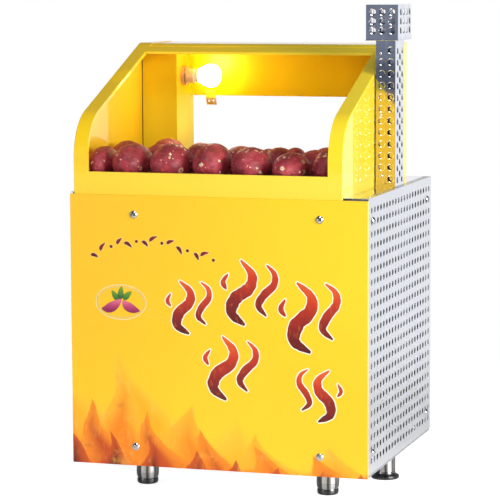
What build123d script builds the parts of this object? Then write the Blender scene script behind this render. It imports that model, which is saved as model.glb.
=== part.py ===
from build123d import *
import math
import os

# Free-standing baked potato oven.
# Millimetres. X runs left to right seen from the customer's side, Y runs from
# the customer's side (front panel) to the operator's side (drawers), Z is up
# and Z = 0 is the floor under the levelling feet.

# ---------------------------------------------------------------- dimensions
CAB_HALF_W = 300.0      # half width over the two side guards
PANEL_Z0 = 70.0         # underside of the front panel
PANEL_Z1 = 601.0        # top edge of the front panel
GUARD_Y0 = 5.0          # front edge of a side guard
GUARD_Y1 = 515.0        # rear edge of a side guard
GUARD_Z0 = 76.0
GUARD_T = 1.2
TOP_Z = 605.0           # upper face of the stainless top plate
TOP_T = 1.2

GRID_COLS = 21          # side guard perforation
GRID_ROWS = 22
GRID_Y0 = 28.0
GRID_Y1 = 494.7
GRID_Z0 = 100.5
GRID_Z1 = 581.4
GRID_HOLE = 12.0

CASE_X = 263.0          # outer face of the inner casing
LINER_X = 232.0         # outer face of the oven chamber liner
BAY_Z1 = 222.0          # top of the burner bay, underside of the oven chamber
LINER_Z1 = 590.0

DRAWER_ROWS = 3
OPEN_Z0 = 232.0         # underside of the lowest drawer opening
OPEN_PITCH = 118.0
OPEN_H = 108.0
OPEN_X0 = 9.0           # inner edge of a drawer opening
OPEN_X1 = 231.0         # outer edge of a drawer opening
DRAWER_Y0 = 70.0
FRAME_Y0 = 515.0        # rear face frame
FRAME_Y1 = 516.5
FRONT_Y0 = 517.0        # drawer front
FRONT_Y1 = 533.0
HANDLE_OUT = 34.0
HANDLE_W = 104.0
HANDLE_R = 5.0

HOOD_X0 = -293.7        # display hood, outer faces of its side walls
HOOD_X1 = 249.6
HOOD_Y0 = 5.0
HOOD_Y1 = 505.0
HOOD_Z1 = 882.5
SLOPE_TAN = 0.3835      # steepness of the hood's sloping front edge
SLOPE_Z = 766.8         # its height where y is 84
BEND_R1, BEND_R2 = 98.0, 45.0   # lower and upper bend of that edge
SHEET = 1.2
RIM = 29.4              # width of the rim flange round the display opening
SILL_Z1 = 645.0
HOOD_Z0 = 601.1         # foot of the hood's front, just above the panel's top return
TOP_PANEL_Z = 881.3     # the top panel lies a sheet's thickness below the rims
LIP = 7.5               # the rims' inner edge is turned in this deep
LIP_Y1 = 455.0          # and as far back as this
RAIL_Y0, RAIL_Y1 = 341.8, 367.6          # top rail, front and rear edges
PANEL_Y0 = 371.6        # front edge of the top panel

PIPE_X0, PIPE_X1, PIPE_Y0, PIPE_Y1 = 266.0, 290.4, 246.0, 300.0    # chimney pipe
PIPE_Z1 = 941.0
SEAM_X = 284.8          # edge of the top plate, where the guards' top returns begin
ROLL = 1.2              # the punched edges of the chimney guard's and cap's
ROLL_DEPTH = 0.7        # holes are drawn in by this much

GUARD2_X0, GUARD2_X1 = 253.3, 292.6      # chimney guard
GUARD2_Y0, GUARD2_Y1 = 238.0, 309.0
GUARD2_Z1 = 894.2
CAP_X0, CAP_X1 = 237.4, 301.8            # chimney cap
CAP_Y0, CAP_Y1 = 221.0, 330.0
CAP_Z0, CAP_Z1 = 894.5, 964.5
CHIM_HOLE = 11.6

LEG_R = 21.0
LEGS_FRONT = ((-204.3, 167.0), (175.0, 167.0))
LEGS_REAR = ((-276.0, 347.0), (246.0, 347.0))
STEM_R = 6.0

LAMP_Y, LAMP_Z = 440.0, 812.5
COLUMN_X1 = -215.4
COLUMN_Y0 = 397.0

INLET_R = 10.4775       # G1/2 male thread, outside radius

NODES = {}


# ------------------------------------------------------------------- helpers
def bx(x0, x1, y0, y1, z0, z1):
    return Pos((x0 + x1) / 2, (y0 + y1) / 2, (z0 + z1) / 2) * Box(
        abs(x1 - x0), abs(y1 - y0), abs(z1 - z0)
    )


def cyl_y(x, z, r, y0, y1):
    return Pos(x, (y0 + y1) / 2, z) * Rot(90, 0, 0) * Cylinder(r, abs(y1 - y0))


def cyl_x(y, z, r, x0, x1):
    return Pos((x0 + x1) / 2, y, z) * Rot(0, 90, 0) * Cylinder(r, abs(x1 - x0))


def cyl_z(x, y, r, z0, z1):
    return Pos(x, y, (z0 + z1) / 2) * Cylinder(r, abs(z1 - z0))


def solids_of(*items):
    out = []
    for item in items:
        if isinstance(item, (list, tuple)):
            out += solids_of(*item)
        else:
            out += list(item.solids())
    return out


def node(name, *items):
    NODES[name] = solids_of(*items)


def yz_prism(points, x0, x1):
    """Closed outline in (y, z), extruded from x0 to x1."""
    face = make_face(Polyline(*[(0, y, z) for y, z in points], close=True))
    return Pos(x0, 0, 0) * extrude(face, amount=x1 - x0, dir=(1, 0, 0))


def xz_plate(x0, x1, z0, z1, y0, y1, holes=()):
    """Sheet standing across Y with round holes given as (x, z, r)."""
    plane = Plane(origin=((x0 + x1) / 2, y0, (z0 + z1) / 2), x_dir=(1, 0, 0), z_dir=(0, -1, 0))
    sketch = Rectangle(x1 - x0, z1 - z0)
    cx, cz = (x0 + x1) / 2, (z0 + z1) / 2
    if holes:
        sketch = sketch - [Pos(x - cx, z - cz) * Circle(r) for x, z, r in holes]
    return extrude(plane * sketch, amount=-(y1 - y0))


def yz_plate(y0, y1, z0, z1, x0, x1, holes=()):
    """Sheet standing across X with round holes given as (y, z, r)."""
    plane = Plane(origin=(x0, (y0 + y1) / 2, (z0 + z1) / 2), x_dir=(0, 1, 0), z_dir=(1, 0, 0))
    sketch = Rectangle(y1 - y0, z1 - z0)
    cy, cz = (y0 + y1) / 2, (z0 + z1) / 2
    if holes:
        sketch = sketch - [Pos(y - cy, z - cz) * Circle(r) for y, z, r in holes]
    return extrude(plane * sketch, amount=x1 - x0)


def rolled_y(plate, y, inward, holes):
    """Draw in the edges of round holes (x, z, r) on the face at y; inward is +1 or -1."""
    ang = -90 if inward > 0 else 90
    return plate - [
        Pos(x, y + inward * (ROLL_DEPTH / 2 - 0.01), z) * Rot(ang, 0, 0) * Cone(r + ROLL, r, ROLL_DEPTH + 0.02)
        for x, z, r in holes
    ]


def rolled_x(plate, x, inward, holes):
    """Draw in the edges of round holes (y, z, r) on the face at x; inward is +1 or -1."""
    return plate - [
        Pos(x + inward * (ROLL_DEPTH / 2 - 0.01), y, z) * Rot(0, 90 * inward, 0) * Cone(r + ROLL, r, ROLL_DEPTH + 0.02)
        for y, z, r in holes
    ]


def xy_plate(x0, x1, y0, y1, z0, z1, holes=()):
    cx, cy = (x0 + x1) / 2, (y0 + y1) / 2
    sketch = Rectangle(x1 - x0, y1 - y0)
    if holes:
        sketch = sketch - [Pos(x - cx, y - cy) * Circle(r) for x, y, r in holes]
    return extrude(Pos(cx, cy, z0) * sketch, amount=z1 - z0)


def lathe(points):
    """Solid turned about Z from an outline of (r, z)."""
    face = make_face(Polyline(*[(r, 0, z) for r, z in points], close=True))
    return revolve(face, axis=Axis.Z)


def dome(radius, height):
    """Domed screw head on the plane z = 0, rising along +Z."""
    big = (radius * radius + height * height) / (2 * height)
    ball = Pos(0, 0, height - big) * Sphere(big)
    keep = Pos(0, 0, height / 2) * Cylinder(radius, height)
    rim = Pos(0, 0, 0.4) * Cylinder(radius, 0.8)
    head = (ball & keep) + rim
    # cross recess for the driver
    for turn in (45, 135):
        head -= Pos(0, 0, height) * Rot(0, 0, turn) * Box(radius, 0.22 * radius, 0.9 * height)
    return head


def screw(radius, height, shank_r, shank):
    return dome(radius, height) + Pos(0, 0, -shank / 2) * Cylinder(shank_r, shank)


# ------------------------------------------------------------ cabinet: base
# Folded base pan with two cross bars that the leg tubes are welded under.
pan = bx(-298.5, 298.5, 6.5, 514.5, 70.5, 72.0)
lips = [bx(*sorted((sx * 298.5, sx * 297.0)), 6.5, 514.5, 72.0, 75.8) for sx in (-1, 1)]
lips.append(bx(-297.0, 297.0, 6.5, 8.0, 72.0, 75.8))
bars = []
for y in (167.0, 347.0):
    bars.append(bx(-283.0, 283.0, y - 20, y + 20, 72.0, 78.4))
holes = [cyl_z(x, y, STEM_R + 0.6, 70.0, 79.0) for x, y in LEGS_FRONT + LEGS_REAR]
node("base_pan", pan - holes, lips, [b - holes for b in bars])

# Leg tubes, open below, with a threaded end plate at the top for the foot stem.
legs = []
for (x, y), z0 in [(p, 31.0) for p in LEGS_FRONT] + [(p, 15.0) for p in LEGS_REAR]:
    tube = cyl_z(x, y, LEG_R, z0, 70.5) - cyl_z(x, y, LEG_R - 2.0, z0 - 1, 64.5)
    tube -= cyl_z(x, y, STEM_R + 0.35, 60.0, 71.0)
    legs.append(tube)
node("leg_tubes", legs)

# Levelling feet: bullet feet in front, flanged feet behind.
BULLET = [
    (0, 0), (17.0, 0), (19.3, 0.9), (20.8, 2.6), (21.4, 5.0), (21.3, 9.4), (20.8, 11.2),
    (20.4, 12.3), (20.8, 13.2), (21.7, 15.0), (22.4, 18.0), (22.7, 22.0), (22.5, 26.0),
    (21.9, 29.6), (21.2, 30.6), (STEM_R, 30.6), (STEM_R, 66.0), (0, 66.0),
]
FLANGED = [
    (0, 0), (26.8, 0), (28.3, 1.0), (28.8, 2.8), (28.8, 5.0), (28.1, 6.6), (26.4, 7.5),
    (24.0, 8.1), (22.3, 9.4), (21.2, 11.6), (20.9, 13.8), (20.4, 14.6), (STEM_R, 14.6),
    (STEM_R, 66.0), (0, 66.0),
]
for label, (x, y), outline in (
    ("front_left", LEGS_FRONT[0], BULLET),
    ("front_right", LEGS_FRONT[1], BULLET),
    ("rear_left", LEGS_REAR[0], FLANGED),
    ("rear_right", LEGS_REAR[1], FLANGED),
):
    node("foot_" + label, Pos(x, y, 0) * lathe(outline))

# --------------------------------------------------------- cabinet: chassis
SIDE_SCREWS = [(39.0, 561.0), (480.0, 561.0), (39.0, 115.0), (480.0, 115.0)]
PANEL_SCREWS = [(-168.0, 564.0), (205.5, 564.0), (-168.0, 108.0), (205.5, 108.0)]
frame = []
for sx in (-1, 1):
    a, b = sorted((sx * 298.6, sx * 296.6))
    for (y0, y1), (fy0, fy1), (fx_in, fx_out) in (
        ((6.5, 56.5), (6.5, 8.5), (258.0, 296.6)),
        ((463.5, 513.5), (511.5, 513.5), (284.0, 296.6)),
    ):
        leg = bx(a, b, y0, y1, 78.5, 602.2)
        c, d = sorted((sx * fx_in, sx * fx_out))
        leg += bx(c, d, fy0, fy1, 78.5, 602.2)
        for y, z in SIDE_SCREWS:
            leg -= cyl_x(y, z, 2.9, a - 1, b + 1)
        frame.append(leg)
for z0 in (545.0, 90.0):
    bar = bx(-295.0, 295.0, 8.5, 10.5, z0, z0 + 40.0)
    for x, z in PANEL_SCREWS:
        bar -= cyl_y(x, z, 2.9, 8.0, 11.0)
    frame.append(bar)
node("chassis_frame", frame)

# ------------------------------------------------------ cabinet: front panel
panel = bx(-CAB_HALF_W, CAB_HALF_W, 0, 5.0, PANEL_Z0, PANEL_Z1)
panel -= bx(-CAB_HALF_W + 1.2, CAB_HALF_W - 1.2, 1.2, 6.0, PANEL_Z0 + 1.2, PANEL_Z1 - 1.2)
for x, z in PANEL_SCREWS:
    panel -= cyl_y(x, z, 2.9, -1, 2)
panel = fillet(
    panel.edges().filter_by(Axis.Z).filter_by(lambda e: e.center().Y < 0.01), 0.9
)
node("front_panel", panel)
node(
    "front_panel_screws",
    [Pos(x, -0.02, z) * Rot(90, 0, 0) * screw(7.5, 4.2, 2.5, 10.8) for x, z in PANEL_SCREWS],
)

# ------------------------------------------------------ cabinet: side guards
grid = [
    (
        GRID_Y0 + (GRID_Y1 - GRID_Y0) * c / (GRID_COLS - 1),
        GRID_Z0 + (GRID_Z1 - GRID_Z0) * r / (GRID_ROWS - 1),
        GRID_HOLE / 2,
    )
    for c in range(GRID_COLS)
    for r in range(GRID_ROWS)
]
right_plate = yz_plate(
    GUARD_Y0, GUARD_Y1, GUARD_Z0, TOP_Z, CAB_HALF_W - GUARD_T, CAB_HALF_W,
    grid + [(y, z, 2.7) for y, z in SIDE_SCREWS],
)
right_returns = [
    bx(284.0, CAB_HALF_W - GUARD_T, GUARD_Y0, GUARD_Y0 + GUARD_T, GUARD_Z0, 601.0),
    bx(284.0, CAB_HALF_W - GUARD_T, GUARD_Y1 - GUARD_T, GUARD_Y1, GUARD_Z0, TOP_Z - TOP_T),
    bx(284.0, CAB_HALF_W - GUARD_T, GUARD_Y0 + GUARD_T, GUARD_Y1 - GUARD_T, GUARD_Z0, GUARD_Z0 + GUARD_T),
]
# Top return, level with the top plate; the right one is perforated and notched
# for the chimney pipe, the left one carries the foot of the hood's wall.
left_returns = right_returns + [bx(SEAM_X + 0.5, CAB_HALF_W - GUARD_T, GUARD_Y0 + 2.0, GUARD_Y1, TOP_Z - TOP_T, TOP_Z)]
for y0, y1, x0 in ((GUARD_Y0 + 2.0, PIPE_Y0 + 1, SEAM_X + 0.5), (PIPE_Y0 + 1, PIPE_Y1 - 1, PIPE_X1 - 1), (PIPE_Y1 - 1, GUARD_Y1, SEAM_X + 0.5)):
    columns = [GRID_Y0 + (GRID_Y1 - GRID_Y0) * c / (GRID_COLS - 1) for c in range(GRID_COLS)]
    slots = [(292.0, y, 2.6) for y in columns if y0 + 5.0 < y < y1 - 5.0 and x0 < 288.0]
    right_returns.append(xy_plate(x0, CAB_HALF_W - GUARD_T, y0, y1, TOP_Z - TOP_T, TOP_Z, slots))
node("side_guard_right", right_plate, right_returns)
node("side_guard_left", [mirror(s, about=Plane.YZ) for s in solids_of(right_plate, left_returns)])
side_screws = []
for y, z in SIDE_SCREWS:
    side_screws.append(Pos(CAB_HALF_W + 0.02, y, z) * Rot(0, 90, 0) * screw(7.3, 4.6, 2.4, 9.0))
    side_screws.append(Pos(-CAB_HALF_W - 0.02, y, z) * Rot(0, -90, 0) * screw(7.3, 4.6, 2.4, 9.0))
node("side_guard_screws", side_screws)

# --------------------------------------------------------- cabinet: top plate
top = bx(-SEAM_X, SEAM_X, 7.0, 515.0, TOP_Z - TOP_T, TOP_Z)
top -= bx(PIPE_X0 + 1, PIPE_X1 - 1, PIPE_Y0 + 1, PIPE_Y1 - 1, 600.0, 606.0)
node("top_plate", top)

# --------------------------------------------------- cabinet: rear face frame
GLAND_X, GLAND_Z = -268.0, 110.0
VALVE_X, VALVE_Z = 268.0, 152.0
IGNITER_Z = 198.0
SWITCH_X, SWITCH_Z = 274.0, 300.0
INLET_Z = 100.0
stile_l = xz_plate(-299.5, -OPEN_X1, 76.0, 603.8, FRAME_Y0, FRAME_Y1, [(GLAND_X, GLAND_Z, 8.2)])
stile_r = xz_plate(
    OPEN_X1, 299.5, 76.0, 603.8, FRAME_Y0, FRAME_Y1,
    [(VALVE_X, VALVE_Z, 8.4), (VALVE_X, IGNITER_Z, 8.2), (VALVE_X, INLET_Z, 11.5)],
)
stile_r -= bx(SWITCH_X - 6.6, SWITCH_X + 6.6, 510, 520, SWITCH_Z - 12.6, SWITCH_Z + 12.6)
face = [stile_l, stile_r]
row_z = [OPEN_Z0 + OPEN_PITCH * r for r in range(DRAWER_ROWS)]
last_top = row_z[-1] + OPEN_H
face.append(bx(-OPEN_X1, OPEN_X1, FRAME_Y0, FRAME_Y1, last_top, 603.8))
face.append(bx(-OPEN_X0, OPEN_X0, FRAME_Y0, FRAME_Y1, OPEN_Z0, last_top))
for r in range(1, DRAWER_ROWS):
    za, zb = row_z[r - 1] + OPEN_H, row_z[r]
    face.append(bx(-OPEN_X1, -OPEN_X0, FRAME_Y0, FRAME_Y1, za, zb))
    face.append(bx(OPEN_X0, OPEN_X1, FRAME_Y0, FRAME_Y1, za, zb))
face.append(bx(-OPEN_X1, OPEN_X1, FRAME_Y0, FRAME_Y1, 214.0, OPEN_Z0))
face.append(bx(-OPEN_X1, OPEN_X1, FRAME_Y0, FRAME_Y1, 103.0, 112.0))
face_frame = list(face)

# ------------------------------------------------- oven chamber and its jacket
liner = bx(-LINER_X, LINER_X, 40.0, 514.8, BAY_Z1, LINER_Z1)
liner -= bx(-LINER_X + 1, LINER_X - 1, 41.0, 516.0, BAY_Z1 - 1, LINER_Z1 - 1)
PORT = (252.0, 348.0, 240.0, 300.0)     # exhaust port through the right side: y0, y1, z0, z1
liner -= bx(LINER_X - 3, LINER_X + 3, *PORT)
node("chamber_liner", liner)

slab_r = bx(LINER_X, CASE_X - 1, 40.0, 500.0, BAY_Z1, 600.0) - bx(LINER_X - 1, CASE_X, *PORT)
node(
    "insulation_slabs",
    slab_r,
    bx(-CASE_X + 1, -LINER_X, 40.0, 500.0, BAY_Z1, 600.0),
    bx(-CASE_X + 1, CASE_X - 1, 12.0, 40.0, BAY_Z1, 600.0),
)
# Inner casing: one sheet folded in a U round the chamber and the burner bay.
case_r = bx(CASE_X - 1, CASE_X, 11.0, 500.0, 79.0, 602.0)
case_r -= bx(CASE_X - 2, CASE_X + 2, *PORT)
case_r -= bx(CASE_X - 2, CASE_X + 2, 440.0, 510.0, 70.0, BAY_Z1)
case_l = bx(-CASE_X, -CASE_X + 1, 11.0, 500.0, 79.0, 602.0)
case_f = bx(-CASE_X + 1, CASE_X - 1, 11.0, 12.0, 79.0, 602.0)
node("inner_casing", case_l + case_f + case_r)

# Runners: pairs of angles that each drawer slides on, each angle made of its
# two legs, and the plate between the two columns of drawers.
runners = [bx(-0.6, 0.6, 60.0, 514.5, OPEN_Z0 - 8.0, LINER_Z1 - 1.2)]
for z0 in row_z:
    for sx in (-1, 1):
        a, b = sorted((sx * 231.0, sx * 219.0))
        c, d = sorted((sx * 231.0, sx * 229.8))
        runners += [bx(a, b, 60.0, 512.0, z0 + 4.4, z0 + 5.6), bx(c, d, 60.0, 512.0, z0 + 5.6, z0 + 18.0)]
        a, b = sorted((sx * 0.6, sx * 21.0))
        c, d = sorted((sx * 0.6, sx * 1.8))
        runners += [bx(a, b, 60.0, 512.0, z0 + 4.4, z0 + 5.6), bx(c, d, 60.0, 512.0, z0 + 5.6, z0 + 18.0)]
node("drawer_runners", runners)

baffle_holes = [
    (x, y, 9.0)
    for x in (-195, -145, -95, -45, 45, 95, 145, 195)
    for y in (95, 145, 195, 245, 295, 345, 395, 445)
]
node("heat_baffle", xy_plate(-230.5, 230.5, 45.0, 508.0, 221.0, 223.0, baffle_holes))

# ----------------------------------------------------------------- gas train
BURNER_X = (-140.0, 0.0, 140.0)
BURNER_Z = 152.0
burners = []
for x in BURNER_X:
    tube = cyl_y(x, BURNER_Z, 12.0, 70.0, 452.0) - cyl_y(x, BURNER_Z, 10.5, 72.0, 453.0)
    tube += cyl_y(x, BURNER_Z, 15.0, 440.0, 460.0) - cyl_y(x, BURNER_Z, 10.5, 430.0, 461.0)
    for i in range(14):
        tube -= cyl_z(x, 95.0 + 24.0 * i, 1.6, BURNER_Z, BURNER_Z + 14.0)
    tube += bx(x - 10, x + 10, 100.0, 102.0, 101.5, BURNER_Z - 11.4)
    burners.append(tube)
node("burner_tubes", burners)

manifold = cyl_x(484.0, BURNER_Z, 8.0, -152.0, 252.5)
jets = []
for x in BURNER_X:
    jets.append(cyl_y(x, BURNER_Z, 6.0, 462.0, 476.2) + cyl_y(x, BURNER_Z, 2.6, 452.0, 462.0))
node("gas_manifold", manifold, [j - manifold for j in jets])

valve = bx(253.0, 282.5, 470.0, 500.0, VALVE_Z - 17, VALVE_Z + 17)
valve = fillet(valve.edges().filter_by(Axis.Y), 4.0)
valve += cyl_y(VALVE_X, VALVE_Z, 8.0, 499.0, 517.4)
valve += cyl_y(VALVE_X, VALVE_Z, 4.0, 517.0, 530.0)
valve += cyl_z(VALVE_X, 485.0, 7.0, 109.5, VALVE_Z - 16)
node("gas_valve", valve)
inlet = cyl_y(VALVE_X, INLET_Z, 9.5, 474.0, 516.6)
inlet += Pos(VALVE_X, 518.55, INLET_Z) * Rot(90, 0, 0) * extrude(RegularPolygon(15.0, 6), 2.0, both=True)
inlet += cyl_y(VALVE_X, INLET_Z, INLET_R, 520.0, 540.0)
inlet -= cyl_y(VALVE_X, INLET_Z, 5.0, 500.0, 541.0)
node("gas_inlet", inlet - cyl_z(VALVE_X, 485.0, 7.0, 108.0, 120.0))

# Piezo igniter housing and lamp switch bezel on the right stile.
housing = cyl_y(VALVE_X, IGNITER_Z, 8.0, 482.0, 517.0) + cyl_y(VALVE_X, IGNITER_Z, 11.0, 516.5, 520.5)
housing -= cyl_y(VALVE_X, IGNITER_Z, 6.0, 500.0, 521.0)
bezel = bx(SWITCH_X - 9, SWITCH_X + 9, 516.5, 518.5, SWITCH_Z - 15, SWITCH_Z + 15)
bezel += bx(SWITCH_X - 6.4, SWITCH_X + 6.4, 500.5, 516.6, SWITCH_Z - 12.4, SWITCH_Z + 12.4)
bezel -= bx(SWITCH_X - 5.4, SWITCH_X + 5.4, 506.0, 519.0, SWITCH_Z - 11.4, SWITCH_Z + 11.4)
node("control_housings", housing, bezel)
node(
    "igniter_button",
    cyl_y(VALVE_X, IGNITER_Z, 5.7, 511.0, 529.0) + cyl_y(VALVE_X, IGNITER_Z, 4.0, 510.0, 512.0),
)
# Rocker: two faces that meet in a shallow V, turning about a pin along X.
rocker = yz_prism(
    [(513.2, SWITCH_Z - 10.6), (519.6, SWITCH_Z - 10.2), (517.6, SWITCH_Z), (522.4, SWITCH_Z + 9.9), (513.6, SWITCH_Z + 10.4), (511.5, SWITCH_Z)],
    SWITCH_X - 5.1, SWITCH_X + 5.1,
)
node("lamp_rocker", rocker)

knob = cyl_y(VALVE_X, VALVE_Z, 20.0, 519.0, 523.0)
knob += cyl_y(VALVE_X, VALVE_Z, 17.0, 522.0, 537.0)
knob += bx(VALVE_X - 4, VALVE_X + 4, 530.0, 543.0, VALVE_Z - 17.5, VALVE_Z + 17.5)
knob -= cyl_y(VALVE_X, VALVE_Z, 4.15, 518.0, 531.0)
node("gas_knob", knob)

gland = cyl_y(GLAND_X, GLAND_Z, 8.0, 506.0, 517.0)
gland += Pos(GLAND_X, 519.5, GLAND_Z) * Rot(90, 0, 0) * extrude(RegularPolygon(12.0, 6), 3.0, both=True)
gland += Pos(GLAND_X, 522.5, GLAND_Z) * Rot(-90, 0, 0) * Pos(0, 0, 5) * Cone(10.0, 7.5, 10.0)
gland -= cyl_y(GLAND_X, GLAND_Z, 3.75, 505.0, 535.0)
node("cable_gland", gland)

# ---------------------------------------------------------------- flue system
# Flat riser between the casing and the right guard, open at the top into the
# chimney pipe.
RX0, RX1 = 264.0, 294.0
outer = bx(RX0, RX1, 236.0, 364.0, 226.0, 603.8)
inner = bx(RX0 + 1, RX1 - 1, 237.0, 363.0, 227.0, 602.8)
riser = outer - inner
riser -= bx(CASE_X - 2, RX0 + 1.5, *PORT)
riser -= bx(PIPE_X0 + 1, PIPE_X1 - 1, PIPE_Y0 + 1, PIPE_Y1 - 1, 602.0, 604.5)
# Exhaust collar bridging the gap between the casing and the riser.
collar = bx(CASE_X, RX0, PORT[0] - 6, PORT[1] + 6, PORT[2] - 6, PORT[3] + 6) - bx(CASE_X - 1, RX0 + 1, *PORT)
node("flue_riser", riser, collar)
pipe = bx(PIPE_X0, PIPE_X1, PIPE_Y0, PIPE_Y1, TOP_Z, PIPE_Z1)
pipe -= bx(PIPE_X0 + 1, PIPE_X1 - 1, PIPE_Y0 + 1, PIPE_Y1 - 1, TOP_Z - 1, PIPE_Z1 + 1)
node("chimney_pipe", pipe)

rows12 = [622.5 + (875.4 - 622.5) * k / 11 for k in range(12)]
front_holes = [(283.1, z, CHIM_HOLE / 2) for z in rows12] + [(265.2, z, CHIM_HOLE / 2) for z in rows12[1:-1]]
back_holes = [(x, z, CHIM_HOLE / 2) for x in (264.0, 282.0) for z in rows12]
rows_s = [619.2 + (873.8 - 619.2) * k / 11 for k in range(12)]
side_holes = [(y, z, CHIM_HOLE / 2) for y in (257.5, 293.9) for z in rows_s]
side_holes += [(275.7, (a + b) / 2, CHIM_HOLE / 2) for a, b in zip(rows_s, rows_s[1:])]
CH_SCREWS = [(262.2, 869.4), (263.0, 748.8), (264.0, 628.5)]
guard2 = [
    xz_plate(GUARD2_X0, GUARD2_X1, TOP_Z, GUARD2_Z1, GUARD2_Y0, GUARD2_Y0 + 1, front_holes + [(x, z, 1.9) for x, z in CH_SCREWS]),
    xz_plate(GUARD2_X0, GUARD2_X1, TOP_Z, GUARD2_Z1, GUARD2_Y1 - 1, GUARD2_Y1, back_holes),
    yz_plate(GUARD2_Y0 + 1, GUARD2_Y1 - 1, TOP_Z, GUARD2_Z1, GUARD2_X0, GUARD2_X0 + 1, side_holes),
    yz_plate(GUARD2_Y0 + 1, GUARD2_Y1 - 1, TOP_Z, GUARD2_Z1, GUARD2_X1 - 1, GUARD2_X1, side_holes),
    bx(GUARD2_X0, GUARD2_X1 - 2.0, GUARD2_Y0 - 10.0, GUARD2_Y0, TOP_Z, TOP_Z + 1.0),
]
guard2[0] = rolled_y(guard2[0], GUARD2_Y0, 1, front_holes)
guard2[1] = rolled_y(guard2[1], GUARD2_Y1, -1, back_holes)
guard2[2] = rolled_x(guard2[2], GUARD2_X0, 1, side_holes)
guard2[3] = rolled_x(guard2[3], GUARD2_X1, -1, side_holes)
node("chimney_guard", guard2)
node(
    "chimney_guard_screws",
    [Pos(x, GUARD2_Y0 - 0.02, z) * Rot(90, 0, 0) * screw(3.6, 2.2, 1.6, 5.0) for x, z in CH_SCREWS],
)

cap_front = [(x, z, 6.1) for x in (251.0, 270.3, 289.6) for z in (914.4, 932.3, 950.2)]
cap_side = [(y, z, 6.1) for y in (244.5, 268.3, 292.1, 315.9) for z in (914.4, 932.3, 950.2)]
cap = [
    xz_plate(CAP_X0, CAP_X1, CAP_Z0 + 1.6, CAP_Z1 - 1.2, CAP_Y0, CAP_Y0 + 1.2, cap_front),
    xz_plate(CAP_X0, CAP_X1, CAP_Z0 + 1.6, CAP_Z1 - 1.2, CAP_Y1 - 1.2, CAP_Y1, cap_front),
    yz_plate(CAP_Y0 + 1.2, CAP_Y1 - 1.2, CAP_Z0 + 1.6, CAP_Z1 - 1.2, CAP_X0, CAP_X0 + 1.2, cap_side),
    yz_plate(CAP_Y0 + 1.2, CAP_Y1 - 1.2, CAP_Z0 + 1.6, CAP_Z1 - 1.2, CAP_X1 - 1.2, CAP_X1, cap_side),
    bx(CAP_X0, CAP_X1, CAP_Y0, CAP_Y1, CAP_Z1 - 1.2, CAP_Z1),
]
cap[0] = rolled_y(cap[0], CAP_Y0, 1, cap_front)
cap[1] = rolled_y(cap[1], CAP_Y1, -1, cap_front)
cap[2] = rolled_x(cap[2], CAP_X0, 1, cap_side)
cap[3] = rolled_x(cap[3], CAP_X1, -1, cap_side)
lip = bx(CAP_X0 - 1.0, CAP_X1 + 1.0, CAP_Y0 - 1.0, CAP_Y1 + 1.0, CAP_Z0, CAP_Z0 + 1.6)
lip = fillet(lip.edges().filter_by(lambda e: e.length > 5), 0.7)
lip -= bx(PIPE_X0 - 1, PIPE_X1 + 1, PIPE_Y0 - 1, PIPE_Y1 + 1, CAP_Z0 - 1, CAP_Z0 + 3)
node("chimney_cap", cap, lip)

# -------------------------------------------------------------- display hood
# Outline of a side wall in (y, z): upright front edge, large bend, long slope,
# small bend, flat top.
def hood_outline(inset=0.0):
    y0, y1 = HOOD_Y0 + inset, HOOD_Y1
    zt = HOOD_Z1 - inset
    r1, r2 = BEND_R1 - inset, BEND_R2 - inset
    slope = math.atan(SLOPE_TAN)
    # slope line through (84, SLOPE_Z), moved inwards by the inset
    px, pz = 84.0 + inset * math.sin(slope), SLOPE_Z - inset * math.cos(slope)

    def on_slope_z(y):
        return pz + math.tan(slope) * (y - px)

    zc = on_slope_z(y0)
    yt = px + (zt - pz) / math.tan(slope)
    t1 = r1 * math.tan((math.pi / 2 - slope) / 2)
    t2 = r2 * math.tan(slope / 2)
    a = (y0, zc - t1)
    b = (y0 + t1 * math.cos(slope), zc + t1 * math.sin(slope))
    c = (yt - t2 * math.cos(slope), zt - t2 * math.sin(slope))
    d = (yt + t2, zt)
    return a, b, c, d, r1, r2


def arc_mid(p, q, r, centre):
    mx, mz = (p[0] + q[0]) / 2 - centre[0], (p[1] + q[1]) / 2 - centre[1]
    n = math.hypot(mx, mz)
    return (centre[0] + mx / n * r, centre[1] + mz / n * r)


def outline_edges(inset, y_end):
    a, b, c, d, r1, r2 = hood_outline(inset)
    m1 = arc_mid(a, b, r1, (a[0] + r1, a[1]))
    m2 = arc_mid(c, d, r2, (d[0], d[1] - r2))
    return [
        ("arc", a, m1, b),
        ("line", b, c),
        ("arc", c, m2, d),
        ("line", d, (y_end, d[1])),
    ]


def v3(p):
    return (0, p[0], p[1])


def build_wire(edges, extra):
    made = []
    for e in edges:
        if e[0] == "arc":
            made.append(ThreePointArc(v3(e[1]), v3(e[2]), v3(e[3])))
        else:
            made.append(Line(v3(e[1]), v3(e[2])))
    for p, q in extra:
        made.append(Line(v3(p), v3(q)))
    return made


def wall_plate(x0, x1):
    a = hood_outline()[0]
    edges = outline_edges(0.0, HOOD_Y1)
    extra = [
        ((HOOD_Y1, HOOD_Z1), (HOOD_Y1, TOP_Z)),
        ((HOOD_Y1, TOP_Z), (6.4, TOP_Z)),
        ((6.4, TOP_Z), (6.4, HOOD_Z0)),
        ((6.4, HOOD_Z0), (HOOD_Y0, HOOD_Z0)),
        ((HOOD_Y0, HOOD_Z0), a),
    ]
    face = make_face(build_wire(edges, extra))
    return Pos(x0, 0, 0) * extrude(face, amount=x1 - x0, dir=(1, 0, 0))


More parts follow.
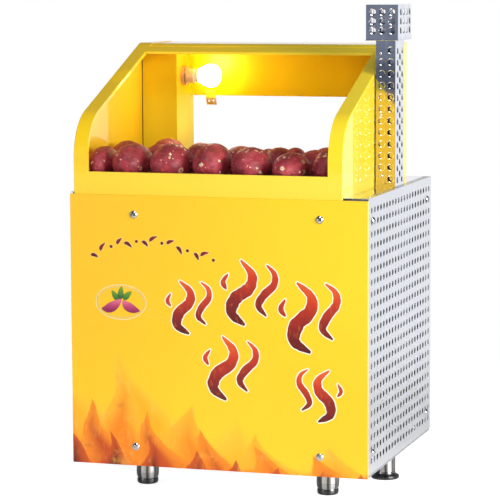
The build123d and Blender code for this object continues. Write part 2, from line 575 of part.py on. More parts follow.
def rim_strip(x0, x1, depth, y_end, z_foot):
    """Band that follows the outline, depth deep, from z_foot up and as far back as y_end."""
    ao = hood_outline()[0]
    ai = hood_outline(depth)[0]
    outer_e = outline_edges(0.0, y_end)
    inner_e = outline_edges(depth, y_end)
    extra = [
        ((y_end, HOOD_Z1), (y_end, HOOD_Z1 - depth)),
        ((HOOD_Y0 + depth, z_foot), ai),
        ((HOOD_Y0 + depth, z_foot), (HOOD_Y0, z_foot)),
        ((HOOD_Y0, z_foot), ao),
    ]
    face = make_face(build_wire(outer_e + inner_e, extra))
    return Pos(x0, 0, 0) * extrude(face, amount=x1 - x0, dir=(1, 0, 0))


def outline_corner(solid, x):
    """Edges of a side wall that follow the outline at x."""
    pts = list(hood_outline()[:4]) + [(HOOD_Y0, HOOD_Z0), (HOOD_Y1, HOOD_Z1)]

    def on(v):
        return any(abs(v.Y - p[0]) < 0.02 and abs(v.Z - p[1]) < 0.02 for p in pts)

    return [
        e for e in solid.edges()
        if abs(e.center().X - x) < 0.01 and abs((e @ 0).X - x) < 0.01 and on(e @ 0) and on(e @ 1)
        and not (abs((e @ 0).Z - (e @ 1).Z) < 0.02 and (e @ 0).Z < 610)
        and not (abs((e @ 0).Y - HOOD_Y1) < 0.02 and abs((e @ 1).Y - HOOD_Y1) < 0.02)
    ]


left = wall_plate(HOOD_X0, HOOD_X0 + SHEET) + rim_strip(HOOD_X0, HOOD_X0 + RIM, SHEET, HOOD_Y1, HOOD_Z0)
left += rim_strip(HOOD_X0 + RIM - SHEET, HOOD_X0 + RIM, LIP, LIP_Y1, TOP_Z + 0.1)
right = wall_plate(HOOD_X1 - SHEET, HOOD_X1) + rim_strip(HOOD_X1 - RIM, HOOD_X1, SHEET, HOOD_Y1, HOOD_Z0)
right += rim_strip(HOOD_X1 - RIM, HOOD_X1 - RIM + SHEET, LIP, LIP_Y1, TOP_Z + 0.1)
corner_l, corner_r = outline_corner(left, HOOD_X0), outline_corner(right, HOOD_X1)
left = fillet(corner_l, 2.0)
right = fillet(corner_r, 2.0)
node("hood_side_left", left)
node("hood_side_right", right)
RX_L, RX_R = HOOD_X0 + RIM + 0.05, HOOD_X1 - RIM - 0.05
IN_L, IN_R = HOOD_X0 + SHEET + 0.05, HOOD_X1 - SHEET - 0.05

# Front sill: face flush with the rims, top folded in and down.
sill = bx(RX_L, RX_R, HOOD_Y0, HOOD_Y0 + SHEET, HOOD_Z0, SILL_Z1)
sill += bx(RX_L, RX_R, HOOD_Y0, HOOD_Y0 + 6.0, SILL_Z1 - SHEET, SILL_Z1)
sill += bx(RX_L, RX_R, HOOD_Y0 + 6.0 - SHEET, HOOD_Y0 + 6.0, SILL_Z1 - 8.0, SILL_Z1)
node("hood_front_sill", sill)

# Top rail: a folded strip that lies in the plane of the sloping rims and joins
# them, with a lip down its front and its rear edge turned in.
SLOPE = math.atan(SLOPE_TAN)


def on_slope(y, depth=0.0):
    """Point on the rims' sloping plane at y, moved depth inwards square to it."""
    return (y + depth * math.sin(SLOPE), SLOPE_Z + SLOPE_TAN * (y - 84.0) - depth * math.cos(SLOPE))


def bend(p, centre_dir, r, n=5):
    """Points round an outside corner p between two directions."""
    (ax, az), (bx_, bz) = centre_dir
    pts = []
    for k in range(n + 1):
        t = k / n
        # quadratic rounding between p + r*a and p + r*b
        q0 = (p[0] + r * ax, p[1] + r * az)
        q1 = (p[0] + r * bx_, p[1] + r * bz)
        pts.append(((1 - t) ** 2 * q0[0] + 2 * t * (1 - t) * p[0] + t * t * q1[0], (1 - t) ** 2 * q0[1] + 2 * t * (1 - t) * p[1] + t * t * q1[1]))
    return pts


def fold_profile(path, t, radii):
    """Closed (y, z) outline of a sheet t thick whose outer face follows path; the sheet lies to the right of the path."""
    outer, inner = [], []
    n = len(path)
    dirs = []
    for i in range(n - 1):
        dx, dz = path[i + 1][0] - path[i][0], path[i + 1][1] - path[i][1]
        m = math.hypot(dx, dz)
        dirs.append((dx / m, dz / m))
    for i in range(n):
        if i == 0 or i == n - 1:
            d = dirs[0] if i == 0 else dirs[-1]
            outer.append(path[i])
            inner.append((path[i][0] + d[1] * t, path[i][1] - d[0] * t))
            continue
        a, b = dirs[i - 1], dirs[i]
        outer += bend(path[i], ((-a[0], -a[1]), b), radii[i - 1])
        na, nb = (a[1], -a[0]), (b[1], -b[0])
        k = t / (1 + na[0] * nb[0] + na[1] * nb[1])
        inner.append((path[i][0] + k * (na[0] + nb[0]), path[i][1] + k * (na[1] + nb[1])))
    return outer + inner[::-1]


lip_top = on_slope(RAIL_Y0)
back_top = on_slope(RAIL_Y1)
rail = fold_profile(
    [(lip_top[0], lip_top[1] - 5.0), lip_top, back_top, on_slope(RAIL_Y1, 5.0)], SHEET, [1.2, 1.6]
)
node("hood_top_rail", yz_prism(rail, RX_L, RX_R))
# Top panel between the rims: a short sloping front behind a gap, then flat.
drop = HOOD_Z1 - TOP_PANEL_Z
knee_y = 84.0 + (HOOD_Z1 - SLOPE_Z) / SLOPE_TAN + drop * math.sin(SLOPE)
front_top = on_slope(PANEL_Y0, drop)
top_panel = fold_profile(
    [
        (front_top[0] + 5.0 * math.sin(SLOPE), front_top[1] - 5.0 * math.cos(SLOPE)),
        front_top, (knee_y, TOP_PANEL_Z), (HOOD_Y1, TOP_PANEL_Z),
    ],
    SHEET, [1.0, 6.0],
)
node("hood_top_panel", yz_prism(top_panel, RX_L, RX_R))

# Sloping header above the rear opening, between the lamp column and the wall.
header = yz_prism(
    [
        (464.0, TOP_PANEL_Z - SHEET - 0.1), (465.3, TOP_PANEL_Z - SHEET - 0.1), (503.6, 769.2),
        (503.6, 768.0), (502.6, 768.0),
    ],
    COLUMN_X1 + 0.1, IN_R,
)
node("hood_header", header)

# Lamp column: folded sheet in the rear left corner, full height.
column = bx(IN_L, COLUMN_X1, COLUMN_Y0, HOOD_Y1 - SHEET - 0.1, TOP_Z, HOOD_Z1 - LIP - 0.1)
column -= bx(IN_L - 1, COLUMN_X1 - SHEET, COLUMN_Y0 + SHEET, HOOD_Y1, TOP_Z - 1, TOP_PANEL_Z)
column -= cyl_x(LAMP_Y, LAMP_Z, 5.0, COLUMN_X1 - 3, COLUMN_X1 + 1)
node("hood_lamp_column", column)

# Back sheet with the operator's opening.
back = bx(IN_L, IN_R, HOOD_Y1 - SHEET, HOOD_Y1, TOP_Z, TOP_PANEL_Z - SHEET - 0.1)
back -= bx(COLUMN_X1 - 0.6, 236.0, HOOD_Y1 - 3, HOOD_Y1 + 1, SILL_Z1, 768.0)
node("hood_back_panel", back)

# Display tray on low ribs above the warm top plate, notched for the column.
TRAY_Z = 619.2
tray = [
    bx(-286.0, 242.0, 12.5, 395.0, TRAY_Z - 1.0, TRAY_Z),
    bx(COLUMN_X1 + 3.0, 242.0, 395.0, 500.0, TRAY_Z - 1.0, TRAY_Z),
    bx(COLUMN_X1 + 3.0, 242.0, 498.8, 500.0, TOP_Z, TRAY_Z - 1.0),
]
for y in (14.0, 120.0, 240.0, 360.0):
    tray.append(bx(-286.0, 242.0, y, y + 1.2, TOP_Z, TRAY_Z - 1.0))
node("display_tray", tray)

# Lamp holder and bulb on the column's right face, axis along X.
holder = cyl_x(LAMP_Y, LAMP_Z, 20.0, COLUMN_X1, -206.0) + cyl_x(LAMP_Y, LAMP_Z, 15.0, -206.2, -189.5)
holder -= cyl_x(LAMP_Y, LAMP_Z, 13.3, -211.0, -189.0)
node("lamp_holder", holder)
bulb_cap = [(0, -134.6), (0, -210.0), (8.0, -210.0), (13.0, -207.0), (13.0, -189.0)]
bulb_globe = [
    (13.0, -189.0), (14.1, -182.0), (16.4, -175.6), (20.2, -168.8), (22.8, -162.2), (23.7, -155.4),
    (22.7, -147.8), (19.0, -140.8), (11.2, -135.7), (0, -134.6),
]
face = make_face([
    Polyline(*[(x, LAMP_Y + r, LAMP_Z) for r, x in bulb_cap]),
    Spline(*[(x, LAMP_Y + r, LAMP_Z) for r, x in bulb_globe], tangents=[(1, 0, 0), (0, -1, 0)]),
])
node("lamp_bulb", revolve(face, axis=Axis((0, LAMP_Y, LAMP_Z), (1, 0, 0))))

# Catch plate that hangs below the header.
catch = Box(22.0, 1.5, 35.0)
catch -= [Pos(dx, 0, -8.5) * Rot(90, 0, 0) * Cylinder(2.4, 4) for dx in (-4.8, 4.8)]
slope_a = math.degrees(math.atan2(38.6, 104.0))
catch_c = (500.6 + 3.4, 764.5)
catch = Pos(-176.0, catch_c[0] - 1.55, catch_c[1]) * Rot(slope_a, 0, 0) * catch
catch_screws = [
    Pos(-176.0 + dx, catch_c[0] - 1.55, catch_c[1]) * Rot(slope_a, 0, 0) * Pos(0, -0.76, 12.0) * Rot(90, 0, 0) * dome(2.6, 1.6)
    for dx in (-4.8, 4.8)
]
node("catch_plate", catch, catch_screws)

# ------------------------------------------------------------------- drawers
DRAWERS = []
number = 0
for r in reversed(range(DRAWER_ROWS)):
    for sx in (-1, 1):
        number += 1
        z0 = row_z[r]
        x0, x1 = sorted((sx * (OPEN_X0 + 4.0), sx * (OPEN_X1 - 4.0)))
        # Sheet box of floor, side, end and partition plates, carried forward
        # into the hollow front pan.
        ya, yb, za, zb = DRAWER_Y0, FRONT_Y1 - 1.2, z0 + 6.0, z0 + 96.0
        box = [
            bx(x0, x1, ya, yb, za, za + 1.2),
            bx(x0, x0 + 1.2, ya, yb, za + 1.2, zb),
            bx(x1 - 1.2, x1, ya, yb, za + 1.2, zb),
            bx(x0 + 1.2, x1 - 1.2, ya, ya + 1.2, za + 1.2, zb),
            bx(x0 + 1.2, x1 - 1.2, FRONT_Y0 - 1.2, FRONT_Y0, za + 1.2, zb),
        ]
        f0, f1 = sorted((sx * 3.0, sx * 239.5))
        front = bx(f0, f1, FRONT_Y0, FRONT_Y1, z0 - 3.5, z0 + 111.5)
        front = fillet(front.edges().filter_by(lambda e: e.center().Y > FRONT_Y1 - 0.01), 2.5)
        front -= bx(f0 + 1.2, f1 - 1.2, FRONT_Y0 - 1, FRONT_Y1 - 1.2, z0 - 2.3, z0 + 110.3)
        node("drawer_%d" % number, box, front)
        cx, cz = (f0 + f1) / 2, z0 + 62.0
        pts = [
            (cx - HANDLE_W / 2, FRONT_Y1, cz), (cx - HANDLE_W / 2, FRONT_Y1 + HANDLE_OUT, cz),
            (cx + HANDLE_W / 2, FRONT_Y1 + HANDLE_OUT, cz), (cx + HANDLE_W / 2, FRONT_Y1, cz),
        ]
        path = FilletPolyline(*pts, radius=12.0)
        bar = sweep(Plane(origin=pts[0], z_dir=(0, 1, 0)) * Circle(HANDLE_R), path=path)
        for px in (cx - HANDLE_W / 2, cx + HANDLE_W / 2):
            bar += cyl_y(px, cz, 8.0, FRONT_Y1, FRONT_Y1 + 2.5)
        node("drawer_handle_%d" % number, bar)
        DRAWERS.append((number, x0, x1, z0, cx, cz))

# Crumb tray on the cross bars, and the flap in front of the burner bay.
crumb = bx(-224.0, 224.0, 60.0, 517.5, 79.0, 99.0) - bx(-223.0, 223.0, 61.0, 517.0, 80.0, 100.0)
crumb += bx(-232.0, 232.0, 517.0, 518.5, 78.0, 101.5)
crumb += bx(-60.0, 60.0, 518.5, 532.0, 78.0, 79.5)
crumb += bx(-60.0, 60.0, 530.5, 532.0, 79.5, 85.0)
node("crumb_tray", crumb)

HINGE_Y, HINGE_Z = 520.2, 107.0
flap = bx(-236.0, 236.0, 517.2, 518.7, 110.6, 221.0)
flap += bx(-70.0, 70.0, 518.7, 531.0, 219.5, 221.0)
flap += bx(-70.0, 70.0, 529.5, 531.0, 213.0, 219.5)
pins = []
for sx in (-1, 1):
    c0, c1 = sorted((sx * 150.0, sx * 200.0))
    flap += cyl_x(HINGE_Y, HINGE_Z, 3.2, c0, c1)
    flap += bx(c0, c1, 517.2, 518.7, 107.6, 111.0)
    flap -= cyl_x(HINGE_Y, HINGE_Z, 1.8, c0 - 1, c1 + 1)
    pin = cyl_x(HINGE_Y, HINGE_Z, 1.5, c0 - 3.5, c1 + 3.5)
    for e0 in (c0 - 3.5, c1 + 0.5):
        pin += bx(e0, e0 + 3.0, FRAME_Y1, HINGE_Y, HINGE_Z - 2.6, HINGE_Z + 2.6) + cyl_x(HINGE_Y, HINGE_Z, 2.6, e0, e0 + 3.0)
    pins.append(pin)
node("access_flap", flap)
node("rear_face_frame", face_frame, pins)

# ------------------------------------------------------------- sweet potatoes
# One layer lying on the display tray, long axes front to back: x, y, half
# sizes (x, y, z), yaw in degrees.
POTATOES = [
    (-257.3, 78.0, 27.2, 60.0, 35.2, 0),
    (-194.6, 74.0, 38.2, 62.0, 38.6, 0),
    (-112.2, 70.0, 42.4, 57.0, 38.9, 0),
    (-31.0, 76.0, 36.6, 63.0, 40.2, 0),
    (49.5, 72.0, 39.8, 59.0, 37.9, 0),
    (130.0, 70.0, 36.4, 57.0, 32.8, 0),
    (207.4, 80.0, 35.4, 61.0, 37.6, 0),
    (-252.0, 200.0, 34.5, 56.0, 36.7, 0),
    (-184.0, 198.0, 31.0, 58.0, 34.4, 0),
    (-94.5, 196.0, 36.0, 58.0, 36.1, 0),
    (-18.0, 200.0, 33.0, 60.0, 32.7, 0),
    (66.0, 196.0, 34.0, 58.0, 32.6, 0),
    (138.5, 198.0, 32.0, 60.0, 31.2, 0),
    (207.0, 202.0, 31.0, 58.0, 33.0, 0),
    (-209.5, 322.0, 34.4, 58.0, 36.0, 0),
    (-128.0, 324.0, 33.0, 57.0, 29.0, 0),
    (-54.0, 322.0, 32.0, 58.0, 28.5, 0),
    (6.0, 324.0, 24.0, 52.0, 26.0, 0),
    (62.0, 322.0, 22.0, 50.0, 28.2, 0),
    (128.0, 322.0, 32.0, 57.0, 28.5, 0),
    (200.0, 326.0, 32.0, 58.0, 30.0, 0),
]
goods = []
for x, y, rx, ry, rz, yaw in POTATOES:
    body = scale(Sphere(1.0), by=(rx, ry, rz))
    goods.append(Pos(x, y, TRAY_Z + 0.05 + rz) * Rot(0, 0, yaw) * body)
node("display_potatoes", goods)

# ------------------------------------------------------------------- output
# The model is moved so that Z runs through the middle of its footprint box.
boxes = [s.bounding_box() for solids in NODES.values() for s in solids]
lo = [min(getattr(b.min, k) for b in boxes) for k in "XYZ"]
hi = [max(getattr(b.max, k) for b in boxes) for k in "XYZ"]
SHIFT = (-(lo[0] + hi[0]) / 2, -(lo[1] + hi[1]) / 2, -lo[2])
print("shift", [round(s, 4) for s in SHIFT], "size", [round(h - l, 3) for h, l in zip(hi, lo)])
os.makedirs("parts", exist_ok=True)
for name, solids in NODES.items():
    moved = [s.moved(Location(SHIFT)) for s in solids]
    shape = moved[0] if len(moved) == 1 else Compound(moved)
    export_step(shape, "parts/%s.step" % name)
print(len(NODES), "nodes", sum(len(s) for s in NODES.values()), "solids")
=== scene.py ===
import bpy
import math
import numpy as np
from mathutils import Matrix, Vector, noise


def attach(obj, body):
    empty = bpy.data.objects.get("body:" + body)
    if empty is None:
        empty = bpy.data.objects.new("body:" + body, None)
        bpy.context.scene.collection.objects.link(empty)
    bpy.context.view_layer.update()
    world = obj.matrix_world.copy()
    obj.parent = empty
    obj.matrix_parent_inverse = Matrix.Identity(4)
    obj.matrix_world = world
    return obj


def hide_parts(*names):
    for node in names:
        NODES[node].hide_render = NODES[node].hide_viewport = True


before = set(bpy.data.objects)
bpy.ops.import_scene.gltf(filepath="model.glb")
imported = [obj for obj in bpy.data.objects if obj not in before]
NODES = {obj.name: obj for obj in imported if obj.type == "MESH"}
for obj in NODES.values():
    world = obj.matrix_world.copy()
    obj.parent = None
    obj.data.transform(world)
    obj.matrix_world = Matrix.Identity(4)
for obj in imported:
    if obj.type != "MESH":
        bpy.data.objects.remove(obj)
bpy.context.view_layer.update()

# The frame's origin is under the middle of the footprint. These are the plan
# offsets between it and the middle of the front panel's face, in millimetres.
OX, OY = 0.13, -283.9289


def P(x, y, z):
    """A point given in millimetres from the middle of the front panel's foot."""
    return Vector(((x + OX) / 1000.0, (y + OY) / 1000.0, z / 1000.0))


# --------------------------------------------------------------- node helpers
def new_mat(name):
    m = bpy.data.materials.new(name)
    m.use_nodes = True
    nt = m.node_tree
    return m, nt, nt.nodes["Principled BSDF"]


def nd(nt, kind, ins=None, **props):
    n = nt.nodes.new(kind)
    for k, v in props.items():
        setattr(n, k, v)
    for k, v in (ins or {}).items():
        s = n.inputs[k]
        if isinstance(v, bpy.types.NodeSocket):
            nt.links.new(v, s)
        else:
            s.default_value = v
    return n


def coords(nt, scale=(1, 1, 1), loc=(0, 0, 0), rot=(0, 0, 0)):
    tc = nd(nt, "ShaderNodeTexCoord")
    mp = nd(nt, "ShaderNodeMapping", {"Vector": tc.outputs["Object"], "Scale": scale, "Location": loc, "Rotation": rot})
    return mp.outputs["Vector"]


def noise_tex(nt, vec, scale, detail=3.0, rough=0.5, dist=0.0):
    return nd(nt, "ShaderNodeTexNoise", {"Vector": vec, "Scale": scale, "Detail": detail, "Roughness": rough, "Distortion": dist}).outputs["Fac"]


def remap(nt, val, a, b, c=0.0, d=1.0, smooth=True):
    return nd(nt, "ShaderNodeMapRange", {"Value": val, "From Min": a, "From Max": b, "To Min": c, "To Max": d},
              interpolation_type="SMOOTHSTEP" if smooth else "LINEAR", clamp=True).outputs["Result"]


def ramp(nt, fac, stops, interp="LINEAR"):
    r = nd(nt, "ShaderNodeValToRGB", {"Fac": fac})
    cr = r.color_ramp
    cr.interpolation = interp
    while len(cr.elements) > 1:
        cr.elements.remove(cr.elements[-1])
    cr.elements[0].position = stops[0][0]
    cr.elements[0].color = (*stops[0][1], 1)
    for p, c in stops[1:]:
        e = cr.elements.new(p)
        e.color = (*c, 1)
    return r.outputs["Color"]


def mixc(nt, fac, a, b, blend="MIX"):
    n = nt.nodes.new("ShaderNodeMix")
    n.data_type = "RGBA"
    n.blend_type = blend
    for i, v in ((0, fac), (6, a), (7, b)):
        s = n.inputs[i]
        if isinstance(v, bpy.types.NodeSocket):
            nt.links.new(v, s)
        elif i == 0:
            s.default_value = v
        else:
            s.default_value = (*v, 1)
    return n.outputs[2]


def math_n(nt, op, a, b=0.0, clamp=False):
    n = nt.nodes.new("ShaderNodeMath")
    n.operation = op
    n.use_clamp = clamp
    for i, v in ((0, a), (1, b)):
        if isinstance(v, bpy.types.NodeSocket):
            nt.links.new(v, n.inputs[i])
        else:
            n.inputs[i].default_value = v
    return n.outputs[0]


def distance(nt, v, point):
    return nd(nt, "ShaderNodeVectorMath", {0: v, 1: tuple(point)}, operation="DISTANCE").outputs["Value"]


def bump(nt, bsdf, height, strength, distance, normal=None):
    b = nd(nt, "ShaderNodeBump", {"Height": height, "Strength": strength, "Distance": distance})
    if normal is not None:
        nt.links.new(normal, b.inputs["Normal"])
    nt.links.new(b.outputs["Normal"], bsdf.inputs["Normal"])
    return b.outputs["Normal"]


def srgb(r, g, b):
    out = []
    for v in (r, g, b):
        v /= 255.0
        out.append(v / 12.92 if v <= 0.04045 else ((v + 0.055) / 1.055) ** 2.4)
    return tuple(out)


# ------------------------------------------------------------------ materials
MAT = {}


def steel(name, color, rough, grain, wav=0.0, spread=0.06, smudge=0.05):
    """Stainless sheet. grain is the mapping scale of its polishing lines, or None; wav is how far the sheet is out of flat."""
    m, nt, b = new_mat(name)
    b.inputs["Metallic"].default_value = 1.0
    tex = noise_tex(nt, coords(nt, (1, 1, 1)), 9.0, 4.0, 0.6)
    dark = tuple(c * (1 - smudge) for c in color)
    base = mixc(nt, remap(nt, tex, 0.35, 0.65), dark, color)
    r = remap(nt, noise_tex(nt, coords(nt, (1, 1, 1), (3, 1, 2)), 14.0, 5.0, 0.65), 0.3, 0.7, rough - spread * 0.5, rough + spread)
    height = None
    if grain is not None:
        g = noise_tex(nt, coords(nt, grain), 1.0, 4.0, 0.7)
        base = mixc(nt, remap(nt, g, 0.3, 0.7), tuple(c * 0.93 for c in color), base)
        r = math_n(nt, "ADD", r, remap(nt, g, 0.25, 0.75, -0.04, 0.06))
        height = g
    nt.links.new(base, b.inputs["Base Color"])
    nt.links.new(r, b.inputs["Roughness"])
    n = None
    if wav:
        w = noise_tex(nt, coords(nt, (1, 1, 1), (7, 5, 1)), 11.0, 1.0, 0.4)
        n = bump(nt, b, w, wav, 0.004)
    if height is not None:
        bump(nt, b, height, 0.12, 0.0002, n)
    MAT[name] = m
    return m


steel("steel_guard", (0.80, 0.82, 0.86), 0.30, (6, 6, 900), 0.10)
# the left guard: as the right one, but its front-facing faces are drawn as white diffuse, not metal: a painted
# brightness where the polished edges would mirror the dark front
g = steel("steel_guard_left", (0.80, 0.82, 0.86), 0.30, (6, 6, 900), 0.10)
gn = g.node_tree
gy = nd(gn, "ShaderNodeSeparateXYZ", {"Vector": nd(gn, "ShaderNodeNewGeometry").outputs["Normal"]}).outputs["Y"]
gn.links.new(remap(gn, gy, -0.9, -0.6), gn.nodes["Principled BSDF"].inputs["Metallic"])
# the top plate: polished, with its front-facing faces at the left corner drawn as white diffuse, not metal: a painted
# brightness where the polished edge would mirror the dark front
g = steel("steel_mirror", (0.74, 0.76, 0.80), 0.07, None, 0.16, 0.05, 0.03)
gn = g.node_tree
gy = nd(gn, "ShaderNodeSeparateXYZ", {"Vector": nd(gn, "ShaderNodeNewGeometry").outputs["Normal"]}).outputs["Y"]
gx = nd(gn, "ShaderNodeSeparateXYZ", {"Vector": coords(gn)}).outputs["X"]
gn.links.new(math_n(gn, "MAXIMUM", remap(gn, gy, -0.9, -0.6), remap(gn, gx, -0.285, -0.275)), gn.nodes["Principled BSDF"].inputs["Metallic"])
steel("steel_tray", (0.62, 0.62, 0.63), 0.22, (700, 8, 8), 0.10)
steel("steel_rear", (0.66, 0.67, 0.69), 0.27, (8, 8, 1200), 0.06)
steel("steel_inner", (0.50, 0.50, 0.50), 0.34, (8, 900, 8), 0.08)


def chrome():
    """Turned steel of the legs and feet: dark plate with painted reflection bands set by which way the surface faces,
    fine turning rings, darker and rougher towards the floor.
    """
    m, nt, b = new_mat("chrome_feet")
    b.inputs["Metallic"].default_value = 1.0
    v = coords(nt)
    nrm = nd(nt, "ShaderNodeNewGeometry").outputs["Normal"]
    # the facing direction round the leg, taken from the normal, drives the painted reflection bands below
    turn = nd(nt, "ShaderNodeVectorMath", {0: nrm, 1: (1.0, 1.0, 0.0)}, operation="MULTIPLY").outputs["Vector"]
    turn = nd(nt, "ShaderNodeVectorMath", {0: turn}, operation="NORMALIZE").outputs["Vector"]
    turn = nd(nt, "ShaderNodeVectorMath", {0: turn, 1: (0.955, 0.297, 0.0)}, operation="DOT_PRODUCT").outputs["Value"]
    wobble = math_n(nt, "MULTIPLY", noise_tex(nt, v, 30.0, 3.0, 0.5), 0.05)
    turn = math_n(nt, "ADD", math_n(nt, "MULTIPLY", turn, 0.5), math_n(nt, "ADD", wobble, 0.475))
    painted_reflection_band = ramp(nt, turn, [(0.0, (0.03,) * 3), (0.21, (0.0,) * 3), (0.25, (0.62,) * 3), (0.42, (0.52,) * 3), (0.46, (0.02,) * 3), (0.53, (0.04,) * 3),
                           (0.60, (0.55,) * 3), (0.65, (1.0,) * 3), (0.78, (0.9,) * 3), (0.82, (0.10,) * 3), (0.91, (0.25,) * 3), (0.97, (0.03,) * 3)])
    smut = remap(nt, noise_tex(nt, v, 60.0, 5.0, 0.7), 0.40, 0.75)
    low = nd(nt, "ShaderNodeSeparateXYZ", {"Vector": v}).outputs["Z"]
    # darker and rougher towards the floor
    near_floor = math_n(nt, "MULTIPLY", remap(nt, low, 0.0135, 0.0115, 0.0, 1.0), 0.90)
    base = mixc(nt, painted_reflection_band, (0.085, 0.082, 0.080), (0.86, 0.85, 0.83))
    base = mixc(nt, math_n(nt, "MULTIPLY", smut, 0.25), base, (0.20, 0.19, 0.18))
    base = mixc(nt, near_floor, base, (0.050, 0.051, 0.053))
    nt.links.new(base, b.inputs["Base Color"])
    r = math_n(nt, "ADD", remap(nt, noise_tex(nt, v, 35.0, 4.0, 0.6), 0.3, 0.75, 0.10, 0.17), math_n(nt, "MULTIPLY", near_floor, 0.25))
    nt.links.new(r, b.inputs["Roughness"])
    rings = noise_tex(nt, coords(nt, (2, 2, 1300)), 1.0, 2.0, 0.5)
    bump(nt, b, rings, 0.25, 0.0002)
    MAT["chrome_feet"] = m


chrome()


def chimney_steel():
    """Thin polished sheet, a little out of flat, with cloudy reflections and finger marks; on faces turned to the
    front, a painted dark reflection in a band near the top and a painted yellow reflection of the hood wall below it.
    """
    m, nt, b = new_mat("steel_chimney")
    b.inputs["Metallic"].default_value = 1.0
    v = coords(nt)
    cloud = remap(nt, noise_tex(nt, v, 34.0, 5.0, 0.65), 0.34, 0.66)
    base = mixc(nt, cloud, (0.70, 0.735, 0.80), (0.86, 0.88, 0.92))
    streak = remap(nt, noise_tex(nt, coords(nt, (90, 90, 5)), 1.0, 4.0, 0.6), 0.42, 0.62)
    base = mixc(nt, math_n(nt, "MULTIPLY", streak, 0.12), base, (0.55, 0.58, 0.64))
    face = nd(nt, "ShaderNodeSeparateXYZ", {"Vector": nd(nt, "ShaderNodeNewGeometry").outputs["Normal"]}).outputs["Y"]
    face = remap(nt, face, -0.4, -0.9)
    up = nd(nt, "ShaderNodeSeparateXYZ", {"Vector": v}).outputs["Z"]
    # painted dark reflection on the front faces, in a band near the top
    painted_dark_reflection = math_n(nt, "MULTIPLY", remap(nt, up, 0.868, 0.838), remap(nt, up, 0.780, 0.800))
    base = mixc(nt, math_n(nt, "MULTIPLY", math_n(nt, "MULTIPLY", painted_dark_reflection, face), 0.75), base, (0.30, 0.31, 0.33))
    # painted yellow reflection of the hood wall on the front faces, below that band
    warm = math_n(nt, "MULTIPLY", remap(nt, up, 0.800, 0.790), face)
    base = mixc(nt, math_n(nt, "MULTIPLY", warm, 0.9), base, (0.80, 0.63, 0.48))
    nt.links.new(base, b.inputs["Base Color"])
    nt.links.new(remap(nt, noise_tex(nt, v, 52.0, 5.0, 0.7), 0.3, 0.7, 0.05, 0.17), b.inputs["Roughness"])
    n = bump(nt, b, noise_tex(nt, coords(nt, (1, 1, 0.55), (2, 7, 3)), 22.0, 1.0, 0.4), 0.10, 0.0016)
    bump(nt, b, noise_tex(nt, coords(nt, (8, 8, 1100)), 1.0, 3.0, 0.6), 0.05, 0.0002, n)
    MAT["steel_chimney"] = m


chimney_steel()

YELLOW_L, YELLOW_R = srgb(253, 198, 36), srgb(255, 216, 44)


def yellow_paint(name, deep, light, rough, coat, peel, far=None, low=None, shade_spot=None, dull=None):
    """Gloss powder coat over folded sheet: barely clouded, faint orange peel, a clear mirror-like top. Its colour is
    painted darker to the left and paler to the right, a painted light from the right.
    """
    m, nt, b = new_mat(name)
    v = coords(nt)
    x = nd(nt, "ShaderNodeSeparateXYZ", {"Vector": v}).outputs["X"]
    # darker to the left, paler to the right: painted light from the right
    right_lit_grad = remap(nt, x, -0.30, 0.25)
    base = mixc(nt, right_lit_grad, deep, light)
    mott = remap(nt, noise_tex(nt, v, 7.0, 2.0, 0.5), 0.35, 0.7)
    base = mixc(nt, math_n(nt, "MULTIPLY", mott, 0.05), base, tuple(c * 0.92 for c in deep))
    # far: darker colour beyond an x position, used as painted shade on the right end of the header
    if far:
        base = mixc(nt, remap(nt, x, far[0], far[1]), base, far[2])
    if low:
        z = nd(nt, "ShaderNodeSeparateXYZ", {"Vector": v}).outputs["Z"]
        base = mixc(nt, remap(nt, z, low[0], low[1]), base, low[2])
    # a patch painted darker round a point, on faces turned towards it: painted shade round the lamp and its holder
    if shade_spot:
        to_lamp = nd(nt, "ShaderNodeVectorMath", {0: tuple(shade_spot[0]), 1: v}, operation="SUBTRACT").outputs["Vector"]
        nrm = nd(nt, "ShaderNodeNewGeometry").outputs["Normal"]
        facing = remap(nt, nd(nt, "ShaderNodeVectorMath", {0: to_lamp, 1: nrm}, operation="DOT_PRODUCT").outputs["Value"], 0.0, 0.012)
        base = mixc(nt, math_n(nt, "MULTIPLY", facing, remap(nt, distance(nt, v, shade_spot[0]), shade_spot[2], shade_spot[1])), base, shade_spot[3])
    speck = remap(nt, noise_tex(nt, v, 900.0, 2.0, 0.5), 0.66, 0.74)
    base = mixc(nt, math_n(nt, "MULTIPLY", speck, 0.10), base, tuple(c * 0.80 for c in deep))
    nt.links.new(base, b.inputs["Base Color"])
    r = remap(nt, noise_tex(nt, v, 18.0, 3.0, 0.5), 0.3, 0.7, rough * 0.9, rough * 1.1)
    nt.links.new(r, b.inputs["Roughness"])
    b.inputs["Specular IOR Level"].default_value = 0.15
    b.inputs["Coat Weight"].default_value = coat
    if dull:
        nt.links.new(remap(nt, distance(nt, v, dull[0]), dull[1], dull[2], 0.0, coat), b.inputs["Coat Weight"])
    b.inputs["Coat Roughness"].default_value = 0.035
    pe = noise_tex(nt, v, 420.0, 2.0, 0.5)
    sheet_w = noise_tex(nt, v, 8.0, 1.0, 0.4)
    n = bump(nt, b, sheet_w, 0.10, 0.0035)
    bump(nt, b, pe, peel, 0.0002, n)
    MAT[name] = m
    return m


LAMP = P(-158.0, 440.0, 812.5)
HOOD_PAINT = (srgb(254, 210, 34), srgb(255, 226, 48), 0.34, 0.85, 0.06)
yellow_paint("yellow_hood", *HOOD_PAINT)
yellow_paint("yellow_side_left", *HOOD_PAINT, low=(0.668, 0.628, srgb(254, 219, 58)), dull=(P(-264.3, 224.0, 816.0), 0.022, 0.045))
yellow_paint("yellow_side_right", *HOOD_PAINT, low=(0.668, 0.628, srgb(255, 229, 74)))
yellow_paint("yellow_sill", srgb(254, 219, 58), srgb(255, 229, 74), 0.34, 0.85, 0.06)
